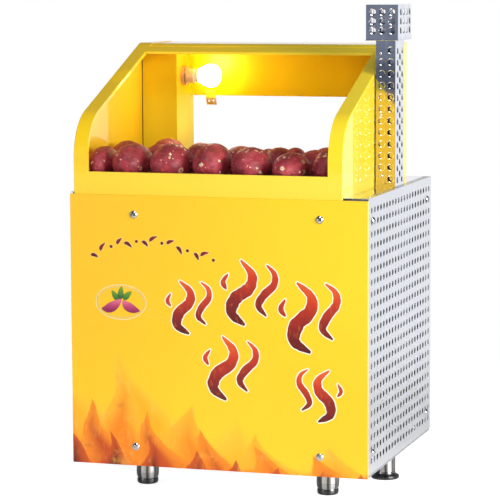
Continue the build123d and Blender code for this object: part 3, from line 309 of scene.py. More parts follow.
# the column is painted darker round the lamp: painted shade
yellow_paint("yellow_satin", srgb(250, 214, 26), srgb(250, 216, 30), 0.45, 0.06, 0.05, low=(0.80, 0.73, srgb(255, 228, 44)), shade_spot=(LAMP, 0.060, 0.135, srgb(216, 150, 2)))
# the header: painted shade on its right end and a painted shadow round the lamp holder
yellow_paint("yellow_header", srgb(254, 206, 10), srgb(255, 206, 8), 0.46, 0.0, 0.05, (0.11, 0.25, srgb(192, 116, 0)),
             shade_spot=(P(-240.0, 470.0, 843.0), 0.034, 0.060, srgb(232, 158, 4)))


def panel_base(nt, v):
    """Colour of the bare film: a warm gradient, faint clouds and halftone grain."""
    sep = nd(nt, "ShaderNodeSeparateXYZ", {"Vector": v})
    base = mixc(nt, remap(nt, sep.outputs["X"], -0.30, 0.28), YELLOW_L, YELLOW_R)
    low = math_n(nt, "MULTIPLY", remap(nt, sep.outputs["Z"], 0.50, 0.10), remap(nt, sep.outputs["X"], -0.20, 0.28))
    base = mixc(nt, math_n(nt, "MULTIPLY", low, 0.9), base, srgb(250, 199, 38))
    cloud = remap(nt, noise_tex(nt, v, 3.2, 2.0, 0.5), 0.3, 0.7)
    base = mixc(nt, math_n(nt, "MULTIPLY", cloud, 0.12), base, srgb(255, 206, 30))
    grain = noise_tex(nt, v, 1400.0, 1.0, 0.5)
    return mixc(nt, math_n(nt, "MULTIPLY", remap(nt, grain, 0.4, 0.7), 0.05), base, srgb(240, 170, 30))


def film_finish(nt, b, v):
    nt.links.new(remap(nt, noise_tex(nt, v, 12.0, 4.0, 0.6), 0.3, 0.7, 0.30, 0.40), b.inputs["Roughness"])
    b.inputs["Specular IOR Level"].default_value = 0.35
    n = bump(nt, b, noise_tex(nt, v, 6.0, 1.0, 0.4), 0.08, 0.004)
    bump(nt, b, noise_tex(nt, v, 900.0, 1.0, 0.5), 0.03, 0.0002, n)


def panel_print():
    """Printed film on the front panel: warm ground with a roasting glow that laps up from its foot."""
    m, nt, b = new_mat("panel_print")
    v = coords(nt)
    base = panel_base(nt, v)
    sep = nd(nt, "ShaderNodeSeparateXYZ", {"Vector": v})
    x = math_n(nt, "MULTIPLY", math_n(nt, "SUBTRACT", sep.outputs["X"], OX / 1000.0), 1000.0)
    z = math_n(nt, "MULTIPLY", sep.outputs["Z"], 1000.0)
    front = remap(nt, sep.outputs["Y"], P(0, 1.0, 0).y, P(0, 0.5, 0).y)

    def tongues(period, phase, height, lean, foot, fall_to, fall_x0, fall_x1, warp):
        """Height of a row of lapping tongues over x, in millimetres."""
        wn = noise_tex(nt, coords(nt, (1, 0.001, 1), (phase, 0, 0)), 9.0, 3.0, 0.55)
        off = math_n(nt, "MULTIPLY", math_n(nt, "SUBTRACT", wn, 0.5), warp)
        sway = math_n(nt, "MULTIPLY", math_n(nt, "SINE", math_n(nt, "ADD", math_n(nt, "MULTIPLY", z, 4.6 / period), phase * 6.0)), period * 0.085)
        xx = math_n(nt, "ADD", math_n(nt, "ADD", x, math_n(nt, "ADD", off, sway)), math_n(nt, "MULTIPLY", z, lean))
        ph = math_n(nt, "ADD", math_n(nt, "DIVIDE", xx, period), phase)
        tri = math_n(nt, "PINGPONG", ph, 0.5)
        crest = math_n(nt, "POWER", math_n(nt, "MULTIPLY", tri, 2.0), 1.9)
        ground = remap(nt, x, fall_x0, fall_x1, foot, fall_to)
        scale = remap(nt, x, fall_x0, fall_x1, height, height * 0.45)
        return math_n(nt, "ADD", ground, math_n(nt, "MULTIPLY", crest, scale))

    fine = noise_tex(nt, coords(nt, (1, 0.001, 1.6), (3, 0, 1)), 42.0, 5.0, 0.62)
    toast = noise_tex(nt, coords(nt, (1, 0.001, 1.3), (1, 0, 5)), 17.0, 6.0, 0.62)
    fibre = noise_tex(nt, coords(nt, (1.0, 0.001, 0.28), (0, 0, 2), (0, 0.5, 0)), 95.0, 4.0, 0.6)
    layers = [
        # period, phase, height, lean, foot, far foot, soft edge, ink low, ink high, strength
        (176.0, 0.10, 128.0, 0.30, 208.0, 92.0, 46.0, srgb(250, 170, 22), srgb(255, 198, 52), 0.85),
        (138.0, 0.61, 118.0, 0.24, 156.0, 80.0, 14.0, srgb(238, 128, 18), srgb(252, 178, 40), 0.95),
        (108.0, 0.33, 98.0, 0.34, 108.0, 70.0, 9.0, srgb(190, 70, 18), srgb(242, 138, 28), 0.95),
        (84.0, 0.86, 72.0, 0.20, 72.0, 50.0, 6.0, srgb(100, 28, 16), srgb(196, 78, 26), 0.95),
    ]
    for k, (per, ph, hgt, lean, foot, far, soft, low_c, high_c, amt) in enumerate(layers):
        top = tongues(per, ph, hgt, lean, foot, far, -300.0, 190.0, 34.0)
        depth = math_n(nt, "SUBTRACT", top, z)
        cover = remap(nt, math_n(nt, "ADD", depth, math_n(nt, "MULTIPLY", math_n(nt, "SUBTRACT", fine, 0.5), 10.0)), 0.0, soft)
        tone = remap(nt, depth, 0.0, hgt * 0.9)
        ink = mixc(nt, tone, high_c, low_c)
        ink = mixc(nt, math_n(nt, "MULTIPLY", remap(nt, fibre, 0.52, 0.74), 0.20), ink, srgb(255, 222, 128))
        if k:
            ink = mixc(nt, math_n(nt, "MULTIPLY", remap(nt, toast, 0.56, 0.74), 0.45), ink, srgb(150, 48, 18))
            ink = mixc(nt, math_n(nt, "MULTIPLY", remap(nt, toast, 0.44, 0.30), 0.35), ink, srgb(255, 196, 84))
        base = mixc(nt, math_n(nt, "MULTIPLY", math_n(nt, "MULTIPLY", cover, amt), front), base, ink)
    nt.links.new(base, b.inputs["Base Color"])
    film_finish(nt, b, v)
    MAT["panel_print"] = m
    return m


panel_print()


def ink_mats():
    """Inks of the printed motifs. 'e' is the distance from a shape's edge in millimetres, 'g' runs 0 to 1 down it."""
    m, nt, b = new_mat("ink_glow")
    v = coords(nt)
    e = nd(nt, "ShaderNodeAttribute", attribute_name="e").outputs["Fac"]
    glow = remap(nt, math_n(nt, "ADD", e, math_n(nt, "MULTIPLY", math_n(nt, "SUBTRACT", noise_tex(nt, v, 160.0, 2.0, 0.5), 0.5), 1.2)), 0.1, 2.6)
    nt.links.new(mixc(nt, glow, panel_base(nt, v), srgb(255, 250, 232)), b.inputs["Base Color"])
    film_finish(nt, b, v)
    MAT["ink_glow"] = m

    def graded(name, stops, wash):
        m, nt, b = new_mat(name)
        v = coords(nt)
        g = nd(nt, "ShaderNodeAttribute", attribute_name="g").outputs["Fac"]
        e = nd(nt, "ShaderNodeAttribute", attribute_name="e").outputs["Fac"]
        streak = noise_tex(nt, coords(nt, (1, 0.001, 0.45), (2, 0, 1), (0, 0.6, 0)), 120.0, 4.0, 0.6)
        gg = math_n(nt, "ADD", g, math_n(nt, "MULTIPLY", math_n(nt, "SUBTRACT", noise_tex(nt, v, 26.0, 3.0, 0.5), 0.5), 0.30))
        col = ramp(nt, gg, stops)
        col = mixc(nt, math_n(nt, "MULTIPLY", remap(nt, streak, 0.52, 0.70), wash), col, srgb(228, 120, 66))
        rim = remap(nt, e, 0.9, 0.2)
        col = mixc(nt, math_n(nt, "MULTIPLY", rim, 0.35), col, srgb(74, 22, 20))
        nt.links.new(col, b.inputs["Base Color"])
        film_finish(nt, b, v)
        MAT[name] = m

    graded("ink_ember", [(0.0, srgb(240, 108, 48)), (0.32, srgb(206, 62, 34)), (0.62, srgb(142, 40, 34)), (1.0, srgb(78, 26, 30))], 0.35)
    graded("ink_maroon", [(0.0, srgb(150, 34, 30)), (0.5, srgb(112, 26, 36)), (1.0, srgb(84, 24, 44))], 0.10)
    graded("ink_leaf", [(0.0, srgb(122, 164, 58)), (0.6, srgb(78, 132, 52)), (1.0, srgb(52, 98, 44))], 0.06)
    graded("ink_root", [(0.0, srgb(226, 112, 148)), (0.5, srgb(188, 66, 112)), (1.0, srgb(138, 36, 82))], 0.10)
    graded("ink_cream", [(0.0, srgb(255, 246, 186)), (1.0, srgb(255, 236, 150))], 0.0)


ink_mats()


def plain(name, c0, c1, rough, metallic=0.0, scale=30.0, bump_scale=300.0, bump_amt=0.1, dist=0.0004, spec=0.5, coat=0.0):
    m, nt, b = new_mat(name)
    v = coords(nt)
    b.inputs["Metallic"].default_value = metallic
    b.inputs["Specular IOR Level"].default_value = spec
    b.inputs["Coat Weight"].default_value = coat
    base = mixc(nt, remap(nt, noise_tex(nt, v, scale, 5.0, 0.65), 0.3, 0.7), c0, c1)
    nt.links.new(base, b.inputs["Base Color"])
    nt.links.new(remap(nt, noise_tex(nt, v, scale * 1.7, 4.0, 0.6), 0.3, 0.7, rough * 0.85, min(1.0, rough * 1.2)), b.inputs["Roughness"])
    bump(nt, b, noise_tex(nt, v, bump_scale, 3.0, 0.6), bump_amt, dist)
    MAT[name] = m
    return m


plain("black_plastic", (0.018, 0.018, 0.020), (0.030, 0.030, 0.032), 0.42, scale=40, bump_scale=1600, bump_amt=0.25, dist=0.0002)
plain("red_plastic", (0.52, 0.015, 0.010), (0.62, 0.025, 0.015), 0.22, scale=60, bump_scale=900, bump_amt=0.04, coat=0.4)
plain("brass", (0.66, 0.47, 0.18), (0.78, 0.58, 0.26), 0.24, 1.0, 60, 700, 0.05)
plain("galvanised", (0.42, 0.44, 0.46), (0.58, 0.60, 0.62), 0.42, 0.9, 70, 120, 0.06)
plain("frame_primer", (0.10, 0.105, 0.115), (0.15, 0.155, 0.165), 0.55, 0.0, 45, 500, 0.15)
plain("dark_iron", (0.055, 0.045, 0.05), (0.12, 0.085, 0.07), 0.5, 0.8, 40, 260, 0.2)
plain("mineral_wool", (0.42, 0.34, 0.16), (0.60, 0.52, 0.30), 0.95, 0.0, 300, 700, 0.8, 0.002)
plain("dark_bead", (0.060, 0.034, 0.008), (0.110, 0.064, 0.016), 0.5, 0.0, 300, 900, 0.2)
plain("screw_steel", (0.50, 0.51, 0.54), (0.66, 0.67, 0.70), 0.16, 1.0, 150, 900, 0.06)


def bulb_glass():
    """Opal lamp: dark joint, cream screw collar, glowing globe."""
    m, nt, b = new_mat("bulb_lit")
    v = coords(nt)
    x = nd(nt, "ShaderNodeSeparateXYZ", {"Vector": v}).outputs["X"]
    globe = remap(nt, x, P(-182, 0, 0).x, P(-172, 0, 0).x)
    neck = mixc(nt, remap(nt, x, P(-196.5, 0, 0).x, P(-193.5, 0, 0).x), srgb(150, 96, 50), srgb(246, 222, 176))
    base = mixc(nt, globe, neck, (0.95, 0.93, 0.88))
    nt.links.new(base, b.inputs["Base Color"])
    nt.links.new(remap(nt, noise_tex(nt, v, 50.0, 3.0, 0.5), 0.3, 0.7, 0.18, 0.28), b.inputs["Roughness"])
    b.inputs["Emission Color"].default_value = (1.0, 0.95, 0.80, 1)
    nt.links.new(math_n(nt, "ADD", math_n(nt, "MULTIPLY", globe, 22.0), 0.12), b.inputs["Emission Strength"])
    MAT["bulb_lit"] = m


bulb_glass()


def holder_ceramic():
    """Glazed holder: beige flange, dark moulding line, paler skirt."""
    m, nt, b = new_mat("porcelain")
    v = coords(nt)
    x = nd(nt, "ShaderNodeSeparateXYZ", {"Vector": v}).outputs["X"]
    glaze = mixc(nt, remap(nt, noise_tex(nt, v, 80.0, 5.0, 0.65), 0.3, 0.7), srgb(206, 172, 132), srgb(226, 196, 156))
    skirt = mixc(nt, remap(nt, noise_tex(nt, v, 70.0, 4.0, 0.6), 0.3, 0.7), srgb(236, 208, 160), srgb(248, 226, 184))
    base = mixc(nt, remap(nt, x, P(-206.5, 0, 0).x, P(-205.0, 0, 0).x), glaze, skirt)
    line = math_n(nt, "MULTIPLY", remap(nt, x, P(-208.6, 0, 0).x, P(-207.8, 0, 0).x), remap(nt, x, P(-205.2, 0, 0).x, P(-206.0, 0, 0).x))
    base = mixc(nt, math_n(nt, "MULTIPLY", line, 0.8), base, srgb(112, 74, 44))
    nt.links.new(base, b.inputs["Base Color"])
    nt.links.new(remap(nt, noise_tex(nt, v, 130.0, 4.0, 0.6), 0.3, 0.7, 0.18, 0.30), b.inputs["Roughness"])
    b.inputs["Coat Weight"].default_value = 0.4
    bump(nt, b, noise_tex(nt, v, 220.0, 3.0, 0.6), 0.05, 0.0004)
    MAT["porcelain"] = m


holder_ceramic()

def catch_metal():
    """Brass-coloured catch: painted over with the header above, bare and finger-worn below."""
    m, nt, b = new_mat("catch_brass")
    v = coords(nt)
    z = nd(nt, "ShaderNodeSeparateXYZ", {"Vector": v}).outputs["Z"]
    worn = mixc(nt, remap(nt, noise_tex(nt, v, 200.0, 5.0, 0.65), 0.3, 0.7), (0.78, 0.47, 0.13), (0.92, 0.64, 0.26))
    paint = mixc(nt, remap(nt, noise_tex(nt, v, 120.0, 3.0, 0.6), 0.3, 0.7), srgb(252, 214, 30), srgb(255, 226, 60))
    upper = remap(nt, z, 0.7625, 0.7640)
    nt.links.new(mixc(nt, upper, worn, paint), b.inputs["Base Color"])
    nt.links.new(math_n(nt, "MULTIPLY", math_n(nt, "SUBTRACT", 1.0, upper), 0.75), b.inputs["Metallic"])
    nt.links.new(remap(nt, noise_tex(nt, v, 300.0, 4.0, 0.6), 0.3, 0.7, 0.28, 0.42), b.inputs["Roughness"])
    bump(nt, b, noise_tex(nt, v, 900.0, 3.0, 0.6), 0.08, 0.0003)
    MAT["catch_brass"] = m


catch_metal()

ASSIGN = {
    "front_panel": "panel_print", "front_panel_screws": "screw_steel",
    "side_guard_left": "steel_guard_left", "side_guard_right": "steel_guard", "side_guard_screws": "screw_steel",
    "top_plate": "steel_mirror", "rear_face_frame": "steel_rear", "base_pan": "galvanised", "leg_tubes": "chrome_feet",
    "foot_front_left": "chrome_feet", "foot_front_right": "chrome_feet", "foot_rear_left": "chrome_feet", "foot_rear_right": "chrome_feet",
    "chassis_frame": "frame_primer", "chamber_liner": "steel_inner", "insulation_slabs": "mineral_wool", "inner_casing": "galvanised",
    "drawer_runners": "steel_inner", "heat_baffle": "dark_iron", "burner_tubes": "dark_iron", "gas_manifold": "brass",
    "gas_valve": "brass", "gas_inlet": "brass", "control_housings": "black_plastic", "igniter_button": "red_plastic",
    "lamp_rocker": "black_plastic", "gas_knob": "black_plastic", "cable_gland": "black_plastic", "flue_riser": "steel_guard",
    "chimney_pipe": "steel_chimney", "chimney_guard": "steel_chimney", "chimney_guard_screws": "screw_steel", "chimney_cap": "steel_chimney",
    "hood_side_left": "yellow_side_left", "hood_side_right": "yellow_side_right", "hood_front_sill": "yellow_sill", "hood_top_rail": "yellow_hood",
    "hood_top_panel": "yellow_hood", "hood_header": "yellow_header", "hood_lamp_column": "yellow_satin", "hood_back_panel": "yellow_satin",
    "display_tray": "steel_tray", "lamp_holder": "porcelain", "lamp_bulb": "bulb_lit", "catch_plate": "catch_brass",
    "crumb_tray": "steel_inner", "access_flap": "steel_rear",
}
for i in range(1, 7):
    ASSIGN["drawer_%d" % i] = "steel_rear"
    ASSIGN["drawer_handle_%d" % i] = "black_plastic"
for name, o in NODES.items():
    o.data.materials.clear()
    o.data.materials.append(MAT[ASSIGN.get(name, "steel_inner")])

# --------------------------------------------------------------- mesh helpers
def mesh_object(name, verts, faces, mat, body="cabinet", smooth=True, attrs=None):
    me = bpy.data.meshes.new(name)
    me.from_pydata([tuple(v) for v in verts], [], [tuple(f) for f in faces])
    me.update()
    if smooth:
        me.polygons.foreach_set("use_smooth", [True] * len(me.polygons))
    for k, vals in (attrs or {}).items():
        a = me.attributes.new(k, "FLOAT", "POINT")
        a.data.foreach_set("value", np.asarray(vals, np.float32))
    o = bpy.data.objects.new(name, me)
    bpy.context.scene.collection.objects.link(o)
    me.materials.append(mat)
    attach(o, body)
    return o


# ------------------------------------------------------------- sweet potatoes
def potato_skin():
    """Crimson skin, olive-brown towards the top, dark specks, soil and pale scars, some of them rings."""
    m, nt, b = new_mat("potato_skin")
    v = coords(nt)
    sep = nd(nt, "ShaderNodeSeparateXYZ", {"Vector": v})
    big = noise_tex(nt, v, 24.0, 5.0, 0.6)
    base = ramp(nt, big, [(0.30, srgb(124, 30, 44)), (0.44, srgb(158, 48, 60)), (0.57, srgb(184, 62, 76)), (0.70, srgb(204, 92, 100))])
    mott = noise_tex(nt, coords(nt, (1, 0.5, 1), (6, 2, 9)), 120.0, 5.0, 0.65)
    base = mixc(nt, math_n(nt, "MULTIPLY", remap(nt, mott, 0.46, 0.66), 0.45), base, srgb(112, 32, 40))
    base = mixc(nt, math_n(nt, "MULTIPLY", remap(nt, mott, 0.46, 0.30), 0.35), base, srgb(206, 104, 110))
    fine = noise_tex(nt, coords(nt, (1, 0.35, 1)), 260.0, 4.0, 0.6)
    base = mixc(nt, math_n(nt, "MULTIPLY", remap(nt, fine, 0.44, 0.66), 0.30), base, srgb(98, 28, 36))
    # olive-brown towards the top of the potatoes
    up = remap(nt, sep.outputs["Z"], P(0, 0, 664).z, P(0, 0, 702).z)
    top_brown = math_n(nt, "MULTIPLY", up, remap(nt, noise_tex(nt, v, 34.0, 5.0, 0.7), 0.40, 0.60))
    base = mixc(nt, math_n(nt, "MULTIPLY", top_brown, 0.62), base, srgb(128, 72, 34))
    # soil in the dents
    soil = remap(nt, noise_tex(nt, coords(nt, (1, 1, 1), (4, 4, 4)), 80.0, 5.0, 0.7), 0.60, 0.68)
    base = mixc(nt, math_n(nt, "MULTIPLY", soil, 0.60), base, srgb(56, 32, 28))

    def warped(scale, amount, loc):
        vv = coords(nt, (1, 1, 1), loc)
        w = nd(nt, "ShaderNodeTexNoise", {"Vector": vv, "Scale": scale, "Detail": 3.0})
        sub = nd(nt, "ShaderNodeVectorMath", {0: w.outputs["Color"], 1: (0.5, 0.5, 0.5)}, operation="SUBTRACT")
        off = nd(nt, "ShaderNodeVectorMath", {0: sub.outputs[0], 1: (amount, amount, amount)}, operation="MULTIPLY")
        return nd(nt, "ShaderNodeVectorMath", {0: vv, 1: off.outputs[0]}, operation="ADD").outputs[0]

    # dark specks where the eyes are
    sp = nd(nt, "ShaderNodeTexVoronoi", {"Vector": warped(300.0, 0.002, (1, 1, 0)), "Scale": 130.0, "Randomness": 1.0})
    sg = nd(nt, "ShaderNodeSeparateColor", {"Color": sp.outputs["Color"]})
    dot = math_n(nt, "MULTIPLY", remap(nt, sp.outputs["Distance"], 0.20, 0.10), math_n(nt, "GREATER_THAN", sg.outputs["Green"], 0.55))
    base = mixc(nt, math_n(nt, "MULTIPLY", dot, 0.75), base, srgb(52, 20, 20))

    # pale scars: each cell holds one ball, and the skin shows where it cuts it
    def scars(scale, gate_at, r0, r1, loc, ring):
        vo = nd(nt, "ShaderNodeTexVoronoi", {"Vector": warped(170.0, 0.0075, loc), "Scale": scale, "Randomness": 1.0})
        gate = nd(nt, "ShaderNodeSeparateColor", {"Color": vo.outputs["Color"]})
        size = remap(nt, gate.outputs["Red"], gate_at, 1.0, r0, r1, smooth=False)
        inside = math_n(nt, "SUBTRACT", size, vo.outputs["Distance"])
        on = math_n(nt, "GREATER_THAN", gate.outputs["Red"], gate_at)
        hit = math_n(nt, "MULTIPLY", remap(nt, inside, 0.0, 0.03), on)
        if ring:
            core = math_n(nt, "MULTIPLY", remap(nt, inside, 0.09, 0.14), math_n(nt, "GREATER_THAN", gate.outputs["Green"], 0.45))
            hit = math_n(nt, "MULTIPLY", hit, math_n(nt, "SUBTRACT", 1.0, math_n(nt, "MULTIPLY", core, 0.85)))
        return hit

    s1 = scars(62.0, 0.62, 0.10, 0.36, (4, 1, 7), True)
    s2 = scars(125.0, 0.70, 0.10, 0.30, (9, 5, 2), False)
    scar = math_n(nt, "MAXIMUM", s1, math_n(nt, "MULTIPLY", s2, 0.8))
    scar_col = mixc(nt, remap(nt, noise_tex(nt, v, 420.0, 3.0, 0.6), 0.35, 0.65), srgb(214, 168, 122), srgb(250, 228, 188))
    base = mixc(nt, scar, base, scar_col)
    nt.links.new(base, b.inputs["Base Color"])
    r = math_n(nt, "ADD", remap(nt, mott, 0.3, 0.7, 0.44, 0.58), math_n(nt, "MULTIPLY", scar, 0.3))
    nt.links.new(r, b.inputs["Roughness"])
    b.inputs["Specular IOR Level"].default_value = 0.42
    b.inputs["Subsurface Weight"].default_value = 0.05
    b.inputs["Subsurface Radius"].default_value = (0.004, 0.0015, 0.001)
    dents = math_n(nt, "ADD", math_n(nt, "MULTIPLY", mott, 1.2), math_n(nt, "SUBTRACT", math_n(nt, "MULTIPLY", scar, 0.5), math_n(nt, "MULTIPLY", dot, 0.8)))
    bump(nt, b, math_n(nt, "ADD", fine, dents), 0.45, 0.0009)
    MAT["potato_skin"] = m


potato_skin()

POTATOES = [
    (-257.3, 78.0, 27.2, 60.0, 35.2), (-194.6, 74.0, 38.2, 62.0, 38.6), (-112.2, 70.0, 42.4, 57.0, 38.9),
    (-31.0, 76.0, 36.6, 63.0, 40.2), (49.5, 72.0, 39.8, 59.0, 37.9), (130.0, 70.0, 36.4, 57.0, 32.8),
    (207.4, 80.0, 35.4, 61.0, 37.6), (-252.0, 200.0, 34.5, 56.0, 36.7), (-184.0, 198.0, 31.0, 58.0, 34.4),
    (-94.5, 196.0, 36.0, 58.0, 36.1), (-18.0, 200.0, 33.0, 60.0, 32.7), (66.0, 196.0, 34.0, 58.0, 32.6),
    (138.5, 198.0, 32.0, 60.0, 31.2), (207.0, 202.0, 31.0, 58.0, 33.0), (-209.5, 322.0, 34.4, 58.0, 36.0),
    (-128.0, 324.0, 33.0, 57.0, 29.0), (-54.0, 322.0, 32.0, 58.0, 28.5), (6.0, 324.0, 24.0, 52.0, 26.0),
    (62.0, 322.0, 22.0, 50.0, 28.2), (128.0, 322.0, 32.0, 57.0, 28.5), (200.0, 326.0, 32.0, 58.0, 30.0),
]
TRAY_Z = 619.2


def potato(k, cx, cy, rx, ry, rz, nu=72, nv=56):
    rng = np.random.default_rng(400 + k)
    front = k < 7
    if front:
        nu, nv = 112, 84
    cz = TRAY_Z + 0.05 + rz
    dirs = rng.normal(size=(9, 3))
    dirs /= np.linalg.norm(dirs, axis=1)[:, None]
    amps = rng.uniform(-0.055, 0.045, 9)
    wid = rng.uniform(2.0, 6.0, 9)
    eyes = rng.normal(size=(16, 3))
    eyes /= np.linalg.norm(eyes, axis=1)[:, None]
    groove_u = rng.uniform(0, 2 * math.pi, 4)
    groove_d = rng.uniform(0.010, 0.026, 4)
    seed = Vector(rng.uniform(-50, 50, 3).tolist())
    verts, faces = [], []
    us = np.linspace(0, 2 * math.pi, nu, endpoint=False)
    vs = np.linspace(0, math.pi, nv + 1)
    for iv, v in enumerate(vs):
        ring_u = us if 0 < iv < nv else us[:1]
        for u in ring_u:
            s = math.sin(v)
            d = np.array([s * math.cos(u), -math.cos(v), s * math.sin(u)])
            r = 1.0
            r += float(np.sum(amps * np.exp(-wid * (1 - dirs @ d))))
            for gu, gd in zip(groove_u, groove_d):
                du = math.atan2(math.sin(u - gu), math.cos(u - gu))
                r -= gd * math.exp(-(du / 0.16) ** 2) * s ** 1.5
            e = np.max(eyes @ d)
            if e > 0.985:
                t = (e - 0.985) / 0.015
                r -= 0.028 * t * t * (3 - 2 * t)
            r = min(r, 1.0)
            q = Vector((d[0] * 2.2, d[1] * 1.4, d[2] * 2.2)) + seed
            r += 0.012 * noise.noise(q * 2.5) + 0.006 * noise.noise(q * 7.0) - 0.014
            # a blunt nub at the ends is worked out, but its weight is 0, so the ends don't draw in
            nub = math.exp(-((s / 0.20) ** 2))
            x, y, z = cx + rx * d[0] * r, cy + ry * d[1] * (r + 0.0 * nub), cz + rz * d[2] * r
            z = max(z, TRAY_Z + 0.05 + 0.35 * max(0.0, s - 0.2) * 0)
            verts.append(P(x, y, z))
    def idx(iv, iu):
        if iv == 0:
            return 0
        if iv == nv:
            return 1 + (nv - 1) * nu
        return 1 + (iv - 1) * nu + iu % nu
    for iv in range(nv):
        for iu in range(nu):
            a, b2, c, d2 = idx(iv, iu), idx(iv, iu + 1), idx(iv + 1, iu + 1), idx(iv + 1, iu)
            if iv == 0:
                faces.append((a, c, d2))
            elif iv == nv - 1:
                faces.append((a, b2, c))
            else:
                faces.append((a, b2, c, d2))
    faces = [tuple(reversed(f)) for f in faces]
    return mesh_object("sweet_potato_%02d" % (k + 1), verts, faces, MAT["potato_skin"], "cabinet")


spuds = [potato(k, *row) for k, row in enumerate(POTATOES)]
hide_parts("display_potatoes")

# ------------------------------------------------------ printed motifs (film)
def catmull(pts, n):
    """Smooth points through a list of (x, z) places, ends included."""
    p = [np.array(q, float) for q in pts]
    p = [2 * p[0] - p[1]] + p + [2 * p[-1] - p[-2]]
    out = []
    for i in range(1, len(p) - 2):
        for k in range(n):
            t = k / n
            out.append(0.5 * (2 * p[i] + (p[i + 1] - p[i - 1]) * t + (2 * p[i - 1] - 5 * p[i] + 4 * p[i + 1] - p[i + 2]) * t * t
                              + (3 * p[i] - p[i - 1] - 3 * p[i + 1] + p[i + 2]) * t ** 3))
    out.append(p[-2])
    return np.array(out)


class Ink:
    """Collects brush strokes that lie on the panel, then makes one mesh of them."""

    def __init__(self, proud):
        self.y = -proud
        self.v, self.f, self.e, self.g = [], [], [], []

    def stroke(self, line, width, grow=0.0, g_of=None):
        """line is an (n, 2) array of places and width the half widths there, in millimetres."""
        line = np.asarray(line, float)
        w = np.asarray(width, float)
        tan = np.gradient(line, axis=0)
        tan /= np.maximum(1e-9, np.linalg.norm(tan, axis=1))[:, None]
        if grow:
            # carry the halo round both ends
            k = 6
            head, tail = [], []
            hw, tw = [], []
            for i in range(k, 0, -1):
                a = (i / k) * grow
                head.append(line[0] - tan[0] * (a + 0.0))
                hw.append(max(0.02, math.sqrt(max(0.0, grow ** 2 - a ** 2)) + w[0]) - grow)
            for i in range(1, k + 1):
                a = (i / k) * grow
                tail.append(line[-1] + tan[-1] * a)
                tw.append(max(0.02, math.sqrt(max(0.0, grow ** 2 - a ** 2)) + w[-1]) - grow)
            line = np.vstack([np.array(head), line, np.array(tail)])
            w = np.concatenate([hw, w, tw])
            tan = np.vstack([np.repeat(tan[:1], k, 0), tan, np.repeat(tan[-1:], k, 0)])
        half = np.maximum(0.02, w + grow)
        nrm = np.stack([-tan[:, 1], tan[:, 0]], axis=1)
        run = np.concatenate([[0], np.cumsum(np.linalg.norm(np.diff(line, axis=0), axis=1))])
        endd = np.minimum(run, run[-1] - run)
        cols = (-1.0, -0.72, -0.4, 0.0, 0.4, 0.72, 1.0)
        start = len(self.v)
        for i in range(len(line)):
            for c in cols:
                q = line[i] + nrm[i] * half[i] * c
                self.v.append(P(q[0], self.y, q[1]))
                self.e.append(min((1 - abs(c)) * half[i], endd[i] + 0.02 if grow else 99.0))
                self.g.append(g_of(q) if g_of else 0.5)
        n = len(cols)
        for i in range(len(line) - 1):
            for j in range(n - 1):
                a = start + i * n + j
                self.f.append((a, a + 1, a + n + 1, a + n))

    def make(self, name, mat):
        return mesh_object(name, self.v, self.f, MAT[mat], "cabinet", smooth=False, attrs={"e": self.e, "g": self.g})


def place(pts, cx, cz, size, turn=0.0, flip=1):
    a = math.radians(turn)
    out = []
    for x, z in pts:
        x *= flip
        out.append((cx + size * (x * math.cos(a) - z * math.sin(a)), cz + size * (x * math.sin(a) + z * math.cos(a))))
    return out


def brush(n, peak, lean=0.4, start=0.0, end=0.0, power=0.75):
    """Half widths of a brush stroke that swells to peak and tapers to its ends."""
    t = np.linspace(0, 1, n)
    s = np.where(t < lean, 0.5 * t / lean, 0.5 + 0.5 * (t - lean) / (1 - lean))
    body = np.sin(math.pi * s) ** power
    return peak * (start * (1 - t) + end * t + (1 - (start * (1 - t) + end * t)) * body)


# Wisps of hot steam: an S-shaped brush stroke, a smaller one beside it and a drop.
WISP = [
    # stroke, its peak half width
    ([(-0.02, -0.54), (-0.25, -0.36), (-0.20, -0.12), (0.03, 0.08), (0.06, 0.30), (-0.14, 0.52)], 0.105),
    ([(0.34, -0.36), (0.20, -0.20), (0.28, -0.02), (0.44, 0.16), (0.44, 0.34), (0.30, 0.48)], 0.066),
    ([(-0.36, 0.02), (-0.42, 0.14), (-0.34, 0.28)], 0.040),
]
WISPS = [
    # x, z, size, turn, flip
    (-58.0, 388.0, 98.0, 4.0, 1), (62.0, 420.0, 118.0, -3.0, 1), (184.0, 378.0, 128.0, 5.0, 1),
    (24.0, 272.0, 116.0, -3.0, 1), (206.0, 228.0, 96.0, -6.0, -1),
]
halo, ember = Ink(0.14), Ink(0.26)
for cx, cz, size, turn, flip in WISPS:
    span = size * 0.62
    for pts, w in WISP:
        line = catmull(place(pts, cx, cz, size, turn, flip), 12)
        wd = brush(len(line), w * size, 0.40, 0.16, 0.10)
        rough = np.array([noise.noise(Vector((q[0] * 0.11, q[1] * 0.11, cx))) for q in line])
        wd = np.maximum(0.3, wd * (1 + 0.16 * rough))
        g_of = lambda q, cz=cz, span=span: min(1.0, max(0.0, 0.5 - (q[1] - cz) / (2 * span)))
        ember.stroke(line, wd, 0.0, g_of)
        halo.stroke(line, wd, 3.4)

